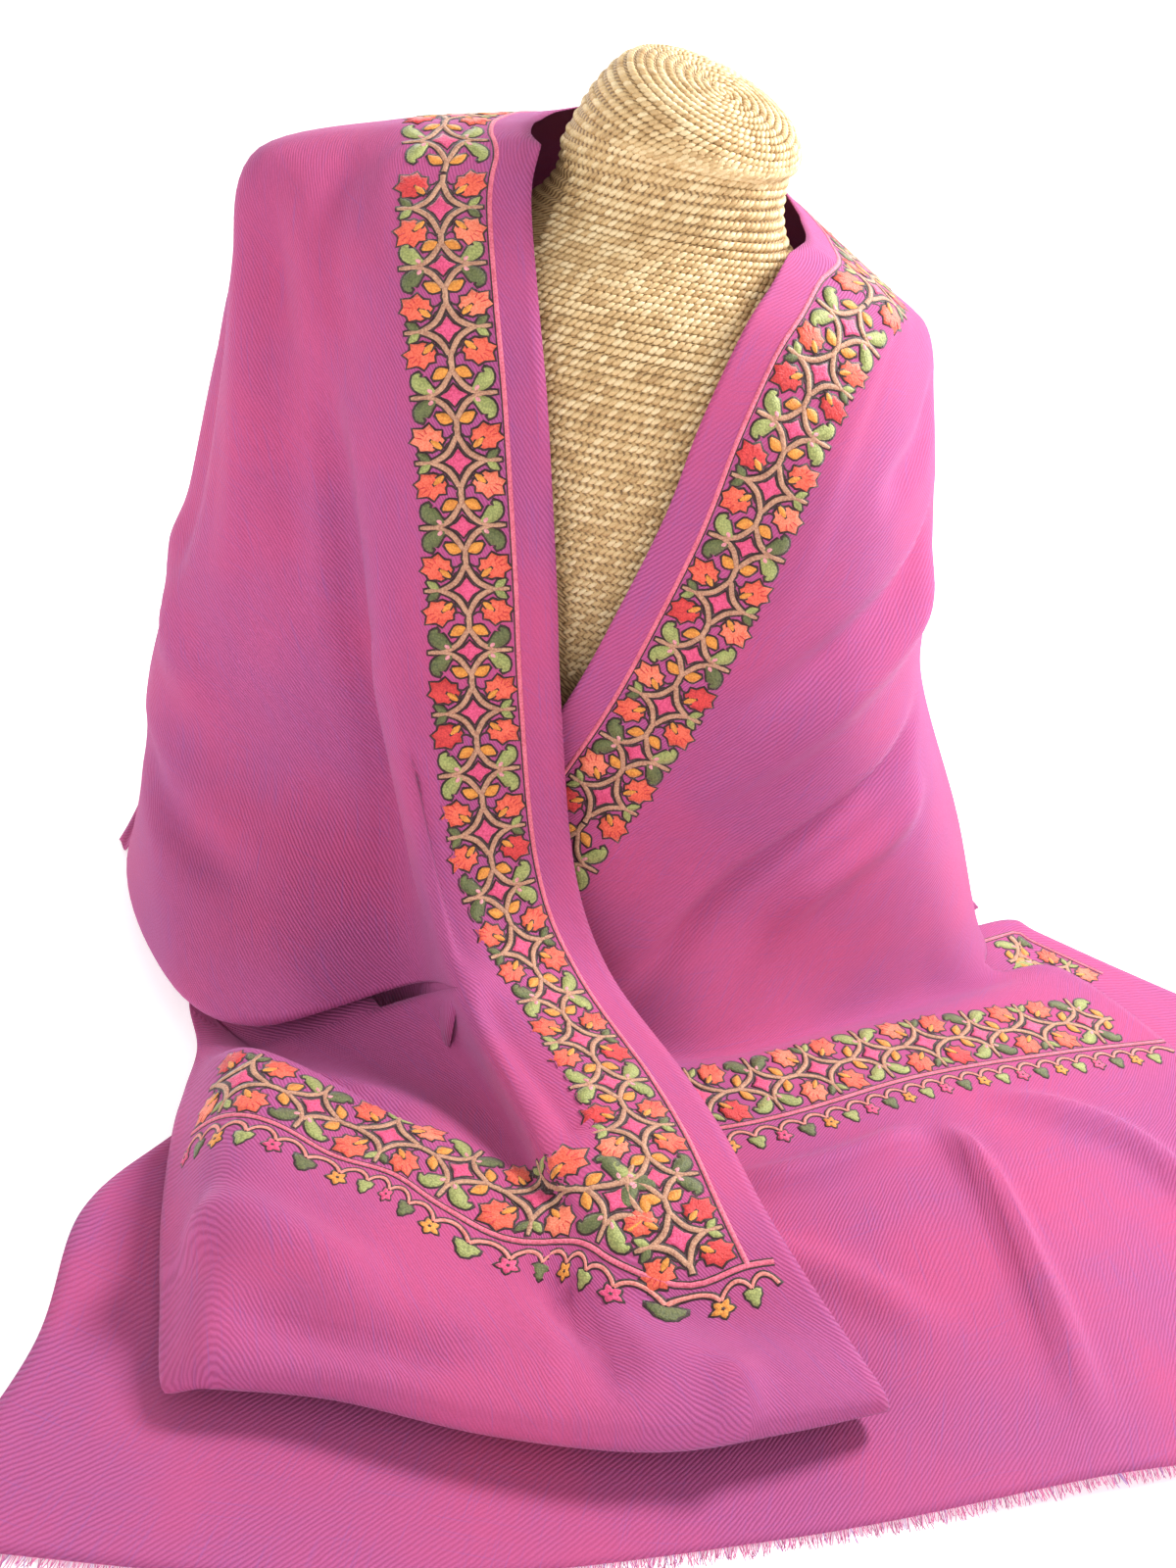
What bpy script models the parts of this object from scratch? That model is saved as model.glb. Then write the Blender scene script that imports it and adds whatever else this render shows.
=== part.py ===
"""A pashmina shawl draped on a limbless bust form that stands on a table.

Units are metres and +Z is up. The origin is the middle of the form's flat base.
The shawl is one rectangle of cloth, 0.70 m wide and 2.00 m long. It goes round the
back of the neck and over both shoulders, crosses in front, left half on top, and both
ends lie heaped on the table. Each stretch of it that shows is one closed wall here.
"""
import math

import bpy
from mathutils import Matrix, Vector

# ---------------------------------------------------------------- driving dimensions
CLOTH_WALL = 0.0016        # thickness of every cloth wall
SEAM_GAP = 0.0004          # gap left between two stretches that meet
STRIP_SEAM_GAP = 0.0020    # the same where the left strip runs on over its heap
FRINGE_REACH = 0.007       # length of the frayed threads past the woven end
FRINGE_WALL = 0.0012       # thickness of the solid that stands for the fringe
STEPS = (2, 2)             # mesh steps from row to row, and from line to line
PROBE = 0.1                # step, as a share of a row or line, that measures a slope

FORM_SIDES = 28            # sides of the bust form
FORM_YAW = math.radians(-8.0)         # the form is turned a little to its left
NECK_SLANT_DIRECTION = Vector((0.75, -0.66, 0.0)).normalized()
PAD_LENGTH, PAD_WIDTH, PAD_HEIGHT = 0.170, 0.090, 0.010
PAD_CENTRE = Vector((0.015, -0.335, 0.0165))
PAD_SIDES = 20

# The form's level rings: height, half width, half depth, middle x.
FORM_RINGS = [
    (0.000, 0.115, 0.085, 0.000),
    (0.100, 0.120, 0.092, 0.000),
    (0.200, 0.135, 0.104, -0.005),
    (0.260, 0.147, 0.110, -0.010),
    (0.310, 0.154, 0.108, -0.012),
    (0.350, 0.152, 0.099, -0.012),
    (0.382, 0.132, 0.085, -0.010),
    (0.404, 0.096, 0.067, -0.006),
    (0.418, 0.072, 0.058, -0.002),
    (0.432, 0.062, 0.055, 0.000),
    (0.448, 0.060, 0.054, 0.000),
]
# The neck's slanted rings above them: middle (x, y, z), radius, slant in degrees.
NECK_RINGS = [
    ((0.003, 0.000, 0.459), 0.057, 8.0),
    ((0.008, -0.001, 0.468), 0.056, 15.0),
    ((0.013, -0.003, 0.477), 0.052, 21.0),
    ((0.016, -0.005, 0.483), 0.043, 22.0),
    ((0.018, -0.006, 0.486), 0.022, 22.0),
]

# ------------------------------------------------------------------- the shawl's lie
# The drape is set out on rows, which go round the form at one level from the left
# half's inner edge, round the back, to the right half's inner edge. These are the
# drape lines that cross every row, in order: inner edge, outer edge of its border,
# fold crest, fold valley, panel, side (two), back (four), side (two), panel (three),
# outer edge of the border, inner edge.
LEFT_LINES = 7             # the left half has the first seven lines
RIGHT_LINES = 7            # the right half has the last seven lines
CAPE = [
    # round the back of the neck
    [(-.066, -.030, .446), (-.072, -.021, .448), (-.074, -.012, .450), (-.074, -.002, .452),
     (-.072, .008, .453), (-.069, .019, .455), (-.064, .030, .457), (-.050, .050, .460),
     (-.022, .066, .462), (.022, .066, .456), (.053, .048, .443), (.068, .024, .433),
     (.071, .012, .430), (.073, .003, .428), (.074, -.006, .427), (.074, -.014, .426),
     (.073, -.022, .425), (.066, -.042, .422)],
    # over the shoulders
    [(-.064, -.055, .425), (-.127, -.040, .428), (-.140, -.026, .432), (-.147, -.012, .436),
     (-.147, .004, .438), (-.142, .022, .438), (-.132, .042, .437), (-.100, .078, .432),
     (-.045, .103, .428), (.042, .104, .420), (.092, .078, .412), (.122, .040, .404),
     (.128, .022, .402), (.130, .008, .402), (.130, -.006, .402), (.127, -.016, .403),
     (.116, -.032, .405), (.060, -.064, .409)],
    # upper chest and shoulder tips
    [(-.050, -.086, .386), (-.118, -.080, .390), (-.146, -.066, .395), (-.172, -.050, .402),
     (-.199, -.032, .411), (-.211, -.011, .413), (-.211, .020, .407), (-.168, .085, .388),
     (-.070, .125, .378), (.060, .126, .372), (.122, .092, .372), (.147, .045, .384),
     (.151, .022, .387), (.150, .000, .388), (.140, -.025, .386), (.128, -.045, .385),
     (.112, -.060, .386), (.051, -.086, .390)],
    # chest
    [(-.036, -.106, .345), (-.105, -.104, .348), (-.133, -.094, .350), (-.160, -.078, .354),
     (-.190, -.060, .360), (-.215, -.032, .364), (-.216, .020, .358), (-.172, .100, .335),
     (-.075, .138, .322), (.070, .138, .318), (.138, .102, .322), (.163, .048, .343),
     (.166, .018, .346), (.162, -.012, .348), (.145, -.045, .347), (.124, -.070, .346),
     (.104, -.086, .346), (.040, -.106, .346)],
    [(-.024, -.118, .301), (-.092, -.120, .303), (-.118, -.114, .303), (-.142, -.096, .305),
     (-.180, -.080, .307), (-.217, -.045, .310), (-.219, .025, .303), (-.180, .108, .285),
     (-.078, .146, .272), (.076, .146, .270), (.148, .107, .275), (.176, .046, .300),
     (.179, .012, .301), (.173, -.022, .302), (.148, -.062, .302), (.121, -.087, .302),
     (.097, -.101, .302), (.033, -.117, .302)],
    # breast level and below it
    [(-.012, -.126, .253), (-.080, -.131, .253), (-.104, -.130, .253), (-.126, -.104, .253),
     (-.172, -.090, .252), (-.220, -.055, .250), (-.224, .022, .248), (-.186, .112, .238),
     (-.082, .151, .226), (.081, .151, .226), (.156, .110, .230), (.186, .048, .250),
     (.190, .010, .250), (.182, -.028, .250), (.150, -.072, .250), (.116, -.098, .250),
     (.086, -.112, .250), (.020, -.121, .250)],
    [(.001, -.131, .195), (-.064, -.142, .196), (-.088, -.146, .197), (-.108, -.112, .192),
     (-.165, -.096, .190), (-.225, -.060, .188), (-.230, .020, .188), (-.192, .118, .180),
     (-.087, .157, .175), (.087, .157, .175), (.163, .114, .180), (.199, .052, .190),
     (.203, .008, .190), (.190, -.036, .190), (.152, -.080, .192), (.105, -.106, .193),
     (.068, -.119, .195), (.004, -.121, .195)],
    # waist
    [(.025, -.145, .110), (-.030, -.168, .116), (-.052, -.178, .118), (-.073, -.128, .100),
     (-.145, -.112, .102), (-.231, -.066, .098), (-.242, .020, .100), (-.206, .128, .100),
     (-.092, .172, .100), (.092, .172, .100), (.182, .130, .100), (.250, .070, .095),
     (.250, .010, .096), (.220, -.040, .100), (.150, -.088, .104), (.085, -.112, .108),
     (.034, -.126, .112), (-.028, -.124, .112)],
    # where the cloth meets the table
    [(.054, -.168, .066), (.006, -.205, .074), (-.018, -.222, .074), (-.048, -.180, .042),
     (-.118, -.220, .030), (-.178, -.186, .018), (-.241, -.055, .013), (-.230, .140, .012),
     (-.096, .205, .012), (.096, .205, .012), (.215, .155, .012), (.287, .072, .012),
     (.295, .008, .012), (.250, -.037, .012), (.190, -.084, .012), (.107, -.141, .012),
     (.015, -.150, .012), (-.060, -.140, .012)],
]
# Past the table row the left half's border strip (its first three lines) goes on over
# the heap. The rest of its panel ends there in a rim, and the rest of the heap starts
# below that rim. These rows are the way the panel heads past the rim, the way the heap
# comes from behind it, and the heap's own start, each for the lines past the strip.
PANEL_RUN_ON = [(-.030, -.200, .030), (-.112, -.214, .016), (-.172, -.180, .006),
                (-.252, -.045, .0014)]
HEAP_RUN_IN = [(-.080, -.140, .040), (-.142, -.192, .006), (-.168, -.180, .003),
               (-.168, -.172, .002)]
HEAP_START = [(-.045, -.188, .036), (-.112, -.216, .010), (-.138, -.208, .006),
              (-.160, -.196, .004)]
STRIP_LINES = 3
LEFT_HEAP = [
    # the heap comes out from under the rim
    [(.100, -.232, .058), (.053, -.262, .063), (.023, -.280, .058), (.000, -.245, .032),
     (-.078, -.240, .018), (-.120, -.236, .016), (-.146, -.228, .006)],
    # upper edge of the end border
    [(.122, -.275, .059), (.078, -.302, .061), (.048, -.320, .053), (.020, -.290, .036),
     (-.058, -.276, .040), (-.113, -.266, .043), (-.142, -.260, .006)],
    # middle of the end border
    [(.142, -.318, .057), (.100, -.338, .053), (.070, -.347, .047), (.028, -.326, .041),
     (-.048, -.312, .044), (-.106, -.300, .048), (-.138, -.292, .006)],
    # past the end border's line
    [(.165, -.352, .050), (.125, -.366, .037), (.085, -.370, .035), (.030, -.366, .034),
     (-.040, -.360, .045), (-.096, -.352, .048), (-.125, -.348, .006)],
    [(.188, -.374, .038), (.145, -.391, .040), (.100, -.400, .041), (.035, -.402, .035),
     (-.030, -.400, .040), (-.084, -.402, .040), (-.109, -.398, .007)],
    # the front fold: its top, its rim and the cloth turned under
    [(.203, -.383, .026), (.160, -.406, .030), (.108, -.427, .031), (.040, -.434, .028),
     (-.025, -.432, .028), (-.073, -.440, .026), (-.094, -.442, .010)],
    [(.203, -.376, .012), (.158, -.398, .010), (.106, -.421, .010), (.040, -.430, .010),
     (-.025, -.429, .010), (-.068, -.434, .010), (-.086, -.434, .009)],
    [(.172, -.345, .010), (.132, -.362, .0085), (.090, -.380, .0085), (.035, -.388, .0085),
     (-.022, -.388, .0085), (-.062, -.392, .0085), (-.080, -.392, .0085)],
]
# The hem behind the form, from the left side line to the right side line.
BACK_HEM = [(-.252, -.045, .0014), (-.258, .190, .0014), (-.110, .335, .0014),
            (.110, .335, .0014), (.245, .225, .0014), (.302, .086, .007)]
# The right half goes on over the table: its last six lines, fold crease first.
RIGHT_END = [
    # upper edge of the end border
    [(.346, .020, .013), (.284, -.043, .013), (.204, -.102, .012), (.114, -.162, .011),
     (.000, -.190, .005), (-.090, -.190, .003)],
    # the end border's line
    [(.404, -.038, .012), (.330, -.076, .012), (.240, -.128, .011), (.134, -.203, .008),
     (-.012, -.262, .002), (-.137, -.286, .0014)],
    # plain end
    [(.440, -.110, .010), (.366, -.135, .009), (.262, -.188, .012), (.147, -.262, .005),
     (-.008, -.320, .0014), (-.161, -.349, .0014)],
    [(.465, -.190, .006), (.385, -.235, .006), (.282, -.288, .012), (.158, -.350, .002),
     (-.005, -.405, .0014), (-.152, -.430, .0014)],
    # the woven end, where the fringe starts
    [(.485, -.275, .0014), (.398, -.340, .005), (.300, -.385, .008), (.168, -.442, .0014),
     (.005, -.500, .0014), (-.165, -.525, .0014)],
]
# The pleat's under layer, in rows from under the crease to the woven end; each row goes
# from the outer selvedge to the edge that the crease hides.
RIGHT_PLEAT = [
    [(.272, .046, .0014), (.266, .000, .0014), (.262, -.040, .0014)],
    [(.324, .088, .0014), (.318, .030, .0014), (.312, -.030, .0014)],
    [(.345, .079, .0014), (.345, .020, .0014), (.345, -.045, .0014)],
    [(.400, .052, .0014), (.402, .000, .0014), (.408, -.060, .0014)],
    [(.470, .022, .0014), (.466, -.040, .0014), (.462, -.100, .0014)],
    [(.560, -.008, .0014), (.548, -.070, .0014), (.530, -.130, .0014)],
    [(.645, -.030, .0014), (.628, -.095, .0014), (.602, -.155, .0014)],
]


# ------------------------------------------------------------------------- materials
def make_material(name, colour, roughness):
    """Return a Principled material with one colour and roughness."""
    material = bpy.data.materials.new(name)
    material.use_nodes = True
    shader = material.node_tree.nodes["Principled BSDF"]
    shader.inputs["Base Color"].default_value = (*colour, 1.0)
    shader.inputs["Roughness"].default_value = roughness
    shader.inputs["Metallic"].default_value = 0.0
    return material


# --------------------------------------------------------------------- cloth surfaces
def spline_point(points, position):
    """Return the point at a position on the Catmull-Rom curve through the points."""
    last = len(points) - 1
    index = max(0, min(int(position), last - 1))
    t = position - index
    p1, p2 = points[index], points[index + 1]
    p0 = points[index - 1] if index > 0 else 2 * p1 - p2
    p3 = points[index + 2] if index + 2 <= last else 2 * p2 - p1
    return 0.5 * (2 * p1 + (p2 - p0) * t + (2 * p0 - 5 * p1 + 4 * p2 - p3) * t ** 2
                  + (3 * p1 - p0 - 3 * p2 + p3) * t ** 3)


class Drape:
    """A smooth surface through rows of points, each row starting at its own line."""

    def __init__(self, rows):
        """Take rows as pairs: the number of the row's first line, and its points."""
        self.rows = [(first, [Vector(point) for point in points]) for first, points in rows]

    def point(self, row_at, line_at):
        """Return the surface point at a row and a line position."""
        start = max(0, min(int(row_at), len(self.rows) - 2) - 1)
        nearby = self.rows[start:start + 4]
        across = [spline_point(points, line_at - first) for first, points in nearby]
        return spline_point(across, row_at - start)

    def normal(self, row_at, line_at, line_span):
        """Return the unit normal, by differences that stay within the line span."""
        low, high = max(line_at - PROBE, line_span[0]), min(line_at + PROBE, line_span[1])
        across = self.point(row_at, high) - self.point(row_at, low)
        top = len(self.rows) - 1
        along = (self.point(min(row_at + PROBE, top), line_at)
                 - self.point(max(row_at - PROBE, 0), line_at))
        return across.cross(along).normalized()

    def grid(self, row_span, line_span, steps, full_span=None):
        """Return the points and the normals of a grid over part of the surface."""
        points, normals = [], []
        for row_at in positions(*row_span, steps[0]):
            at_lines = positions(*line_span, steps[1])
            points.append([self.point(row_at, line_at) for line_at in at_lines])
            normals.append([self.normal(row_at, line_at, full_span or line_span)
                            for line_at in at_lines])
        return points, normals


def positions(start, end, steps_each):
    """Return even positions from start to end, with about steps_each to a whole one."""
    count = max(1, round((end - start) * steps_each))
    return [start + (end - start) * index / count for index in range(count + 1)]


def trim(points, sides, gap=SEAM_GAP):
    """Pull the named sides of a grid of points in by half the gap."""
    pairs = {"first_row": list(zip(points[0], points[1])),
             "last_row": list(zip(points[-1], points[-2])),
             "first_line": [(row[0], row[1]) for row in points],
             "last_line": [(row[-1], row[-2]) for row in points]}
    for side in sides:
        for edge_point, inner_point in pairs[side]:
            edge_point += (inner_point - edge_point).normalized() * (gap / 2)


def add_object(name, vertices, faces, material):
    """Add a smooth-shaded mesh object and return it."""
    mesh = bpy.data.meshes.new(name)
    mesh.from_pydata(vertices, [], faces)
    mesh.validate()
    mesh.materials.append(material)
    mesh.shade_smooth()
    mesh.set_sharp_from_angle(angle=math.radians(50.0))
    model = bpy.data.objects.new(name, mesh)
    bpy.context.scene.collection.objects.link(model)
    return model


def add_wall(name, points, normals, thickness, material):
    """Add a closed wall whose middle surface is the grid of points."""
    rows, lines = len(points), len(points[0])
    half = thickness / 2
    places = [(i, j) for i in range(rows) for j in range(lines)]
    front = [points[i][j] + normals[i][j] * half for i, j in places]
    back = [points[i][j] - normals[i][j] * half for i, j in places]
    offset = rows * lines
    faces = []
    for i in range(rows - 1):
        for j in range(lines - 1):
            a, b = i * lines + j, i * lines + j + 1
            c, d = b + lines, a + lines
            faces += [(a, b, c), (a, c, d)]
            faces += [(a + offset, c + offset, b + offset), (a + offset, d + offset, c + offset)]
    edge = list(range(lines))
    edge += [i * lines + lines - 1 for i in range(1, rows)]
    edge += [(rows - 1) * lines + j for j in range(lines - 2, -1, -1)]
    edge += [i * lines for i in range(rows - 2, 0, -1)]
    for here, there in zip(edge, edge[1:] + edge[:1]):
        faces += [(there, here, here + offset), (there, here + offset, there + offset)]
    return add_object(name, front + back, faces, material)


def add_fringe(name, edge_row, inner_row, material):
    """Add the flat solid of the fringe past a woven end, one seam gap from it."""
    rows = [[], []]
    for edge_point, inner_point in zip(edge_row, inner_row):
        outward = edge_point - inner_point
        outward.z = 0.0
        outward.normalize()
        for row, reach in zip(rows, (SEAM_GAP, SEAM_GAP + FRINGE_REACH)):
            row.append(edge_point + outward * reach)
    upright = [[Vector((0.0, 0.0, 1.0)) for _ in row] for row in rows]
    return add_wall(name, rows, upright, FRINGE_WALL, material)


# ------------------------------------------------------------------------- the pieces
def build_form(material):
    """Add the bust form: level rings from its flat base, then the slanted neck."""
    rings = []
    turn = Matrix.Rotation(FORM_YAW, 3, "Z")
    angles = [2 * math.pi * side / FORM_SIDES for side in range(FORM_SIDES)]
    for height, half_width, half_depth, middle in FORM_RINGS:
        rings.append([turn @ Vector((half_width * math.cos(a), half_depth * math.sin(a), 0.0))
                      + Vector((middle, 0.0, height)) for a in angles])
    axis = Vector((0.0, 0.0, 1.0)).cross(NECK_SLANT_DIRECTION)
    for middle, radius, slant in NECK_RINGS:
        tilt = Matrix.Rotation(math.radians(slant), 3, axis)
        rings.append([tilt @ (turn @ Vector((radius * math.cos(a), radius * math.sin(a), 0.0)))
                      + Vector(middle) for a in angles])
    vertices = [point for ring in rings for point in ring]
    faces = []
    for level in range(len(rings) - 1):
        for side in range(FORM_SIDES):
            a = level * FORM_SIDES + side
            b = level * FORM_SIDES + (side + 1) % FORM_SIDES
            faces.append((a, b, b + FORM_SIDES, a + FORM_SIDES))
    bottom, top = len(vertices), len(vertices) + 1
    vertices.append(Vector((0.0, 0.0, 0.0)))
    vertices.append(sum(rings[-1], Vector()) / FORM_SIDES)
    last = (len(rings) - 1) * FORM_SIDES
    for side in range(FORM_SIDES):
        following = (side + 1) % FORM_SIDES
        faces.append((bottom, following, side))
        faces.append((top, last + side, last + following))
    return add_object("bust_form", vertices, faces, material)


def build_tuck_pad(material):
    """Add the rounded solid that stands for the hidden layers inside the left heap."""
    # Each level: share of the full half size, height as a share of half the thickness.
    levels = [(0.90, -1.0), (1.0, -0.45), (1.0, 0.45), (0.90, 1.0)]
    vertices, faces = [], []
    for share, level in levels:
        for side in range(PAD_SIDES):
            a = 2 * math.pi * side / PAD_SIDES
            across = math.copysign(abs(math.cos(a)) ** 0.5, math.cos(a))
            along = math.copysign(abs(math.sin(a)) ** 0.5, math.sin(a))
            vertices.append(PAD_CENTRE + Vector((share * PAD_LENGTH / 2 * across,
                                                 share * PAD_WIDTH / 2 * along,
                                                 level * PAD_HEIGHT / 2)))
    for ring in range(len(levels) - 1):
        for side in range(PAD_SIDES):
            a = ring * PAD_SIDES + side
            b = ring * PAD_SIDES + (side + 1) % PAD_SIDES
            faces.append((a, b, b + PAD_SIDES, a + PAD_SIDES))
    faces.append(tuple(reversed(range(PAD_SIDES))))
    faces.append(tuple(range((len(levels) - 1) * PAD_SIDES, len(levels) * PAD_SIDES)))
    return add_object("shawl_left_tuck", vertices, faces, material)


def build_left_half(material):
    """Add the left front panel and the heaped left end; the strip meets in a seam."""
    table_row, side_line = len(CAPE) - 1, LEFT_LINES - 1
    strip_beyond = LEFT_HEAP[0][:STRIP_LINES]
    front = Drape([(0, row) for row in CAPE] + [(0, strip_beyond + PANEL_RUN_ON)])
    points, normals = front.grid((0, table_row), (0, side_line), STEPS, (0, side_line + 1))
    trim(points, ["last_row", "last_line"])
    add_wall("shawl_left_front", points, normals, CLOTH_WALL, material)
    run_in = CAPE[-2][:STRIP_LINES] + HEAP_RUN_IN
    start = CAPE[-1][:STRIP_LINES] + HEAP_START
    end = Drape([(0, row) for row in [run_in, start] + LEFT_HEAP])
    points, normals = end.grid((1, len(LEFT_HEAP) + 1), (0, side_line), STEPS)
    trim(points, ["first_row"], STRIP_SEAM_GAP)
    add_wall("shawl_left_end", points, normals, CLOTH_WALL, material)


def build_back(material):
    """Add the back: neck edge, shoulders, fall to the table and hem."""
    first, last = LEFT_LINES - 1, len(CAPE[0]) - RIGHT_LINES
    drape = Drape([(0, row) for row in CAPE] + [(first, BACK_HEM)])
    points, normals = drape.grid((0, len(CAPE)), (first, last), STEPS, (first - 1, last + 1))
    trim(points, ["first_line", "last_line"])
    add_wall("shawl_back", points, normals, CLOTH_WALL, material)


def build_right_half(material, fringe_material):
    """Add the right front panel, the right end on the table and its fringe."""
    first, last = len(CAPE[0]) - RIGHT_LINES, len(CAPE[0]) - 1
    table_row = len(CAPE) - 1
    end_row = table_row + len(RIGHT_END)
    crease_row = (first, [BACK_HEM[-1]] + RIGHT_END[0])
    drape = Drape([(0, row) for row in CAPE] + [crease_row]
                  + [(first + 1, row) for row in RIGHT_END[1:]])
    points, normals = drape.grid((0, table_row), (first, last), STEPS, (first - 1, last))
    trim(points, ["first_line", "last_row"])
    add_wall("shawl_right_front", points, normals, CLOTH_WALL, material)
    points, normals = drape.grid((table_row, end_row), (first + 1, last), STEPS)
    trim(points, ["first_row"])
    add_wall("shawl_right_end", points, normals, CLOTH_WALL, material)
    add_fringe("fringe_right", points[-1], points[-2], fringe_material)


def build_pleat(material, fringe_material):
    """Add the under layer of the pleat at the right end, and its fringe."""
    drape = Drape([(0, row) for row in RIGHT_PLEAT])
    last_row, last_line = len(RIGHT_PLEAT) - 1, len(RIGHT_PLEAT[0]) - 1
    points, normals = drape.grid((0, last_row), (0, last_line), (2, 1))
    add_wall("shawl_right_pleat", points, normals, CLOTH_WALL, material)
    add_fringe("fringe_pleat", points[-1], points[-2], fringe_material)


def main():
    """Clear the scene and build every piece."""
    for leftover in list(bpy.data.objects):
        bpy.data.objects.remove(leftover, do_unlink=True)
    cloth = make_material("shawl_cloth", (0.42, 0.08, 0.24), 0.85)
    fringe = make_material("fringe_yarn", (0.50, 0.12, 0.30), 0.90)
    rope = make_material("seagrass_rope", (0.60, 0.42, 0.20), 0.75)
    build_form(rope)
    build_left_half(cloth)
    build_tuck_pad(cloth)
    build_back(cloth)
    build_right_half(cloth, fringe)
    build_pleat(cloth, fringe)


main()
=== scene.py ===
"""Rose shawl on a rope-wound bust form: the visual model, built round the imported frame.

The shawl is one sheet, set out on the same rows of points as its solids, with a finer
grid, soft folds, turned-under rims, needlework borders and frayed ends. Units are metres.
"""
from __future__ import annotations

import logging
import math
from dataclasses import dataclass, field
from enum import Enum
from typing import Callable, Iterable, Sequence

import bpy
import numpy as np
from mathutils import Matrix, Vector
from mathutils.bvhtree import BVHTree


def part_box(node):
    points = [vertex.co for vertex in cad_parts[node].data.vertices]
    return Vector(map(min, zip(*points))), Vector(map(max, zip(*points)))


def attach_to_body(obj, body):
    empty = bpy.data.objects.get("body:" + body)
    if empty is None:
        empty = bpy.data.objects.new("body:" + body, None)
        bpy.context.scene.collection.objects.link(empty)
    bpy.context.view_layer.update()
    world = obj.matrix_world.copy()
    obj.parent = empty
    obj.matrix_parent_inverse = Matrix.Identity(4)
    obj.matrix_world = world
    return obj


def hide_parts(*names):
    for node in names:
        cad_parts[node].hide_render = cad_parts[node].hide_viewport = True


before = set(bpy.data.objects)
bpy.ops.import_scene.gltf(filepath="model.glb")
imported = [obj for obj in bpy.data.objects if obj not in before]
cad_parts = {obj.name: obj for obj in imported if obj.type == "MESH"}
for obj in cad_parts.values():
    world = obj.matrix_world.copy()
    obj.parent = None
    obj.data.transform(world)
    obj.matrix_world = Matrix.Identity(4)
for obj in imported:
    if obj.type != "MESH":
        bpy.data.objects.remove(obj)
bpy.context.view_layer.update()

LOG = logging.getLogger("shawl")
MM = 0.001
CELL_PITCH = 0.040          # distance from cell to cell of the floral band
GRID_CELL = 0.0057          # size of the cloth's mesh cells
SHELL = 0.0006              # thickness of the shown cloth
EDGE_STEP = 0.004           # spacing of the stations along a border
FOLD_DEPTH = 1.5            # how much deeper the folds lie than their plan
MARCH_STEP = 0.0025         # spacing of the stations across a border

Point = tuple[float, float, float]
Row = list[Point]

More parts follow.
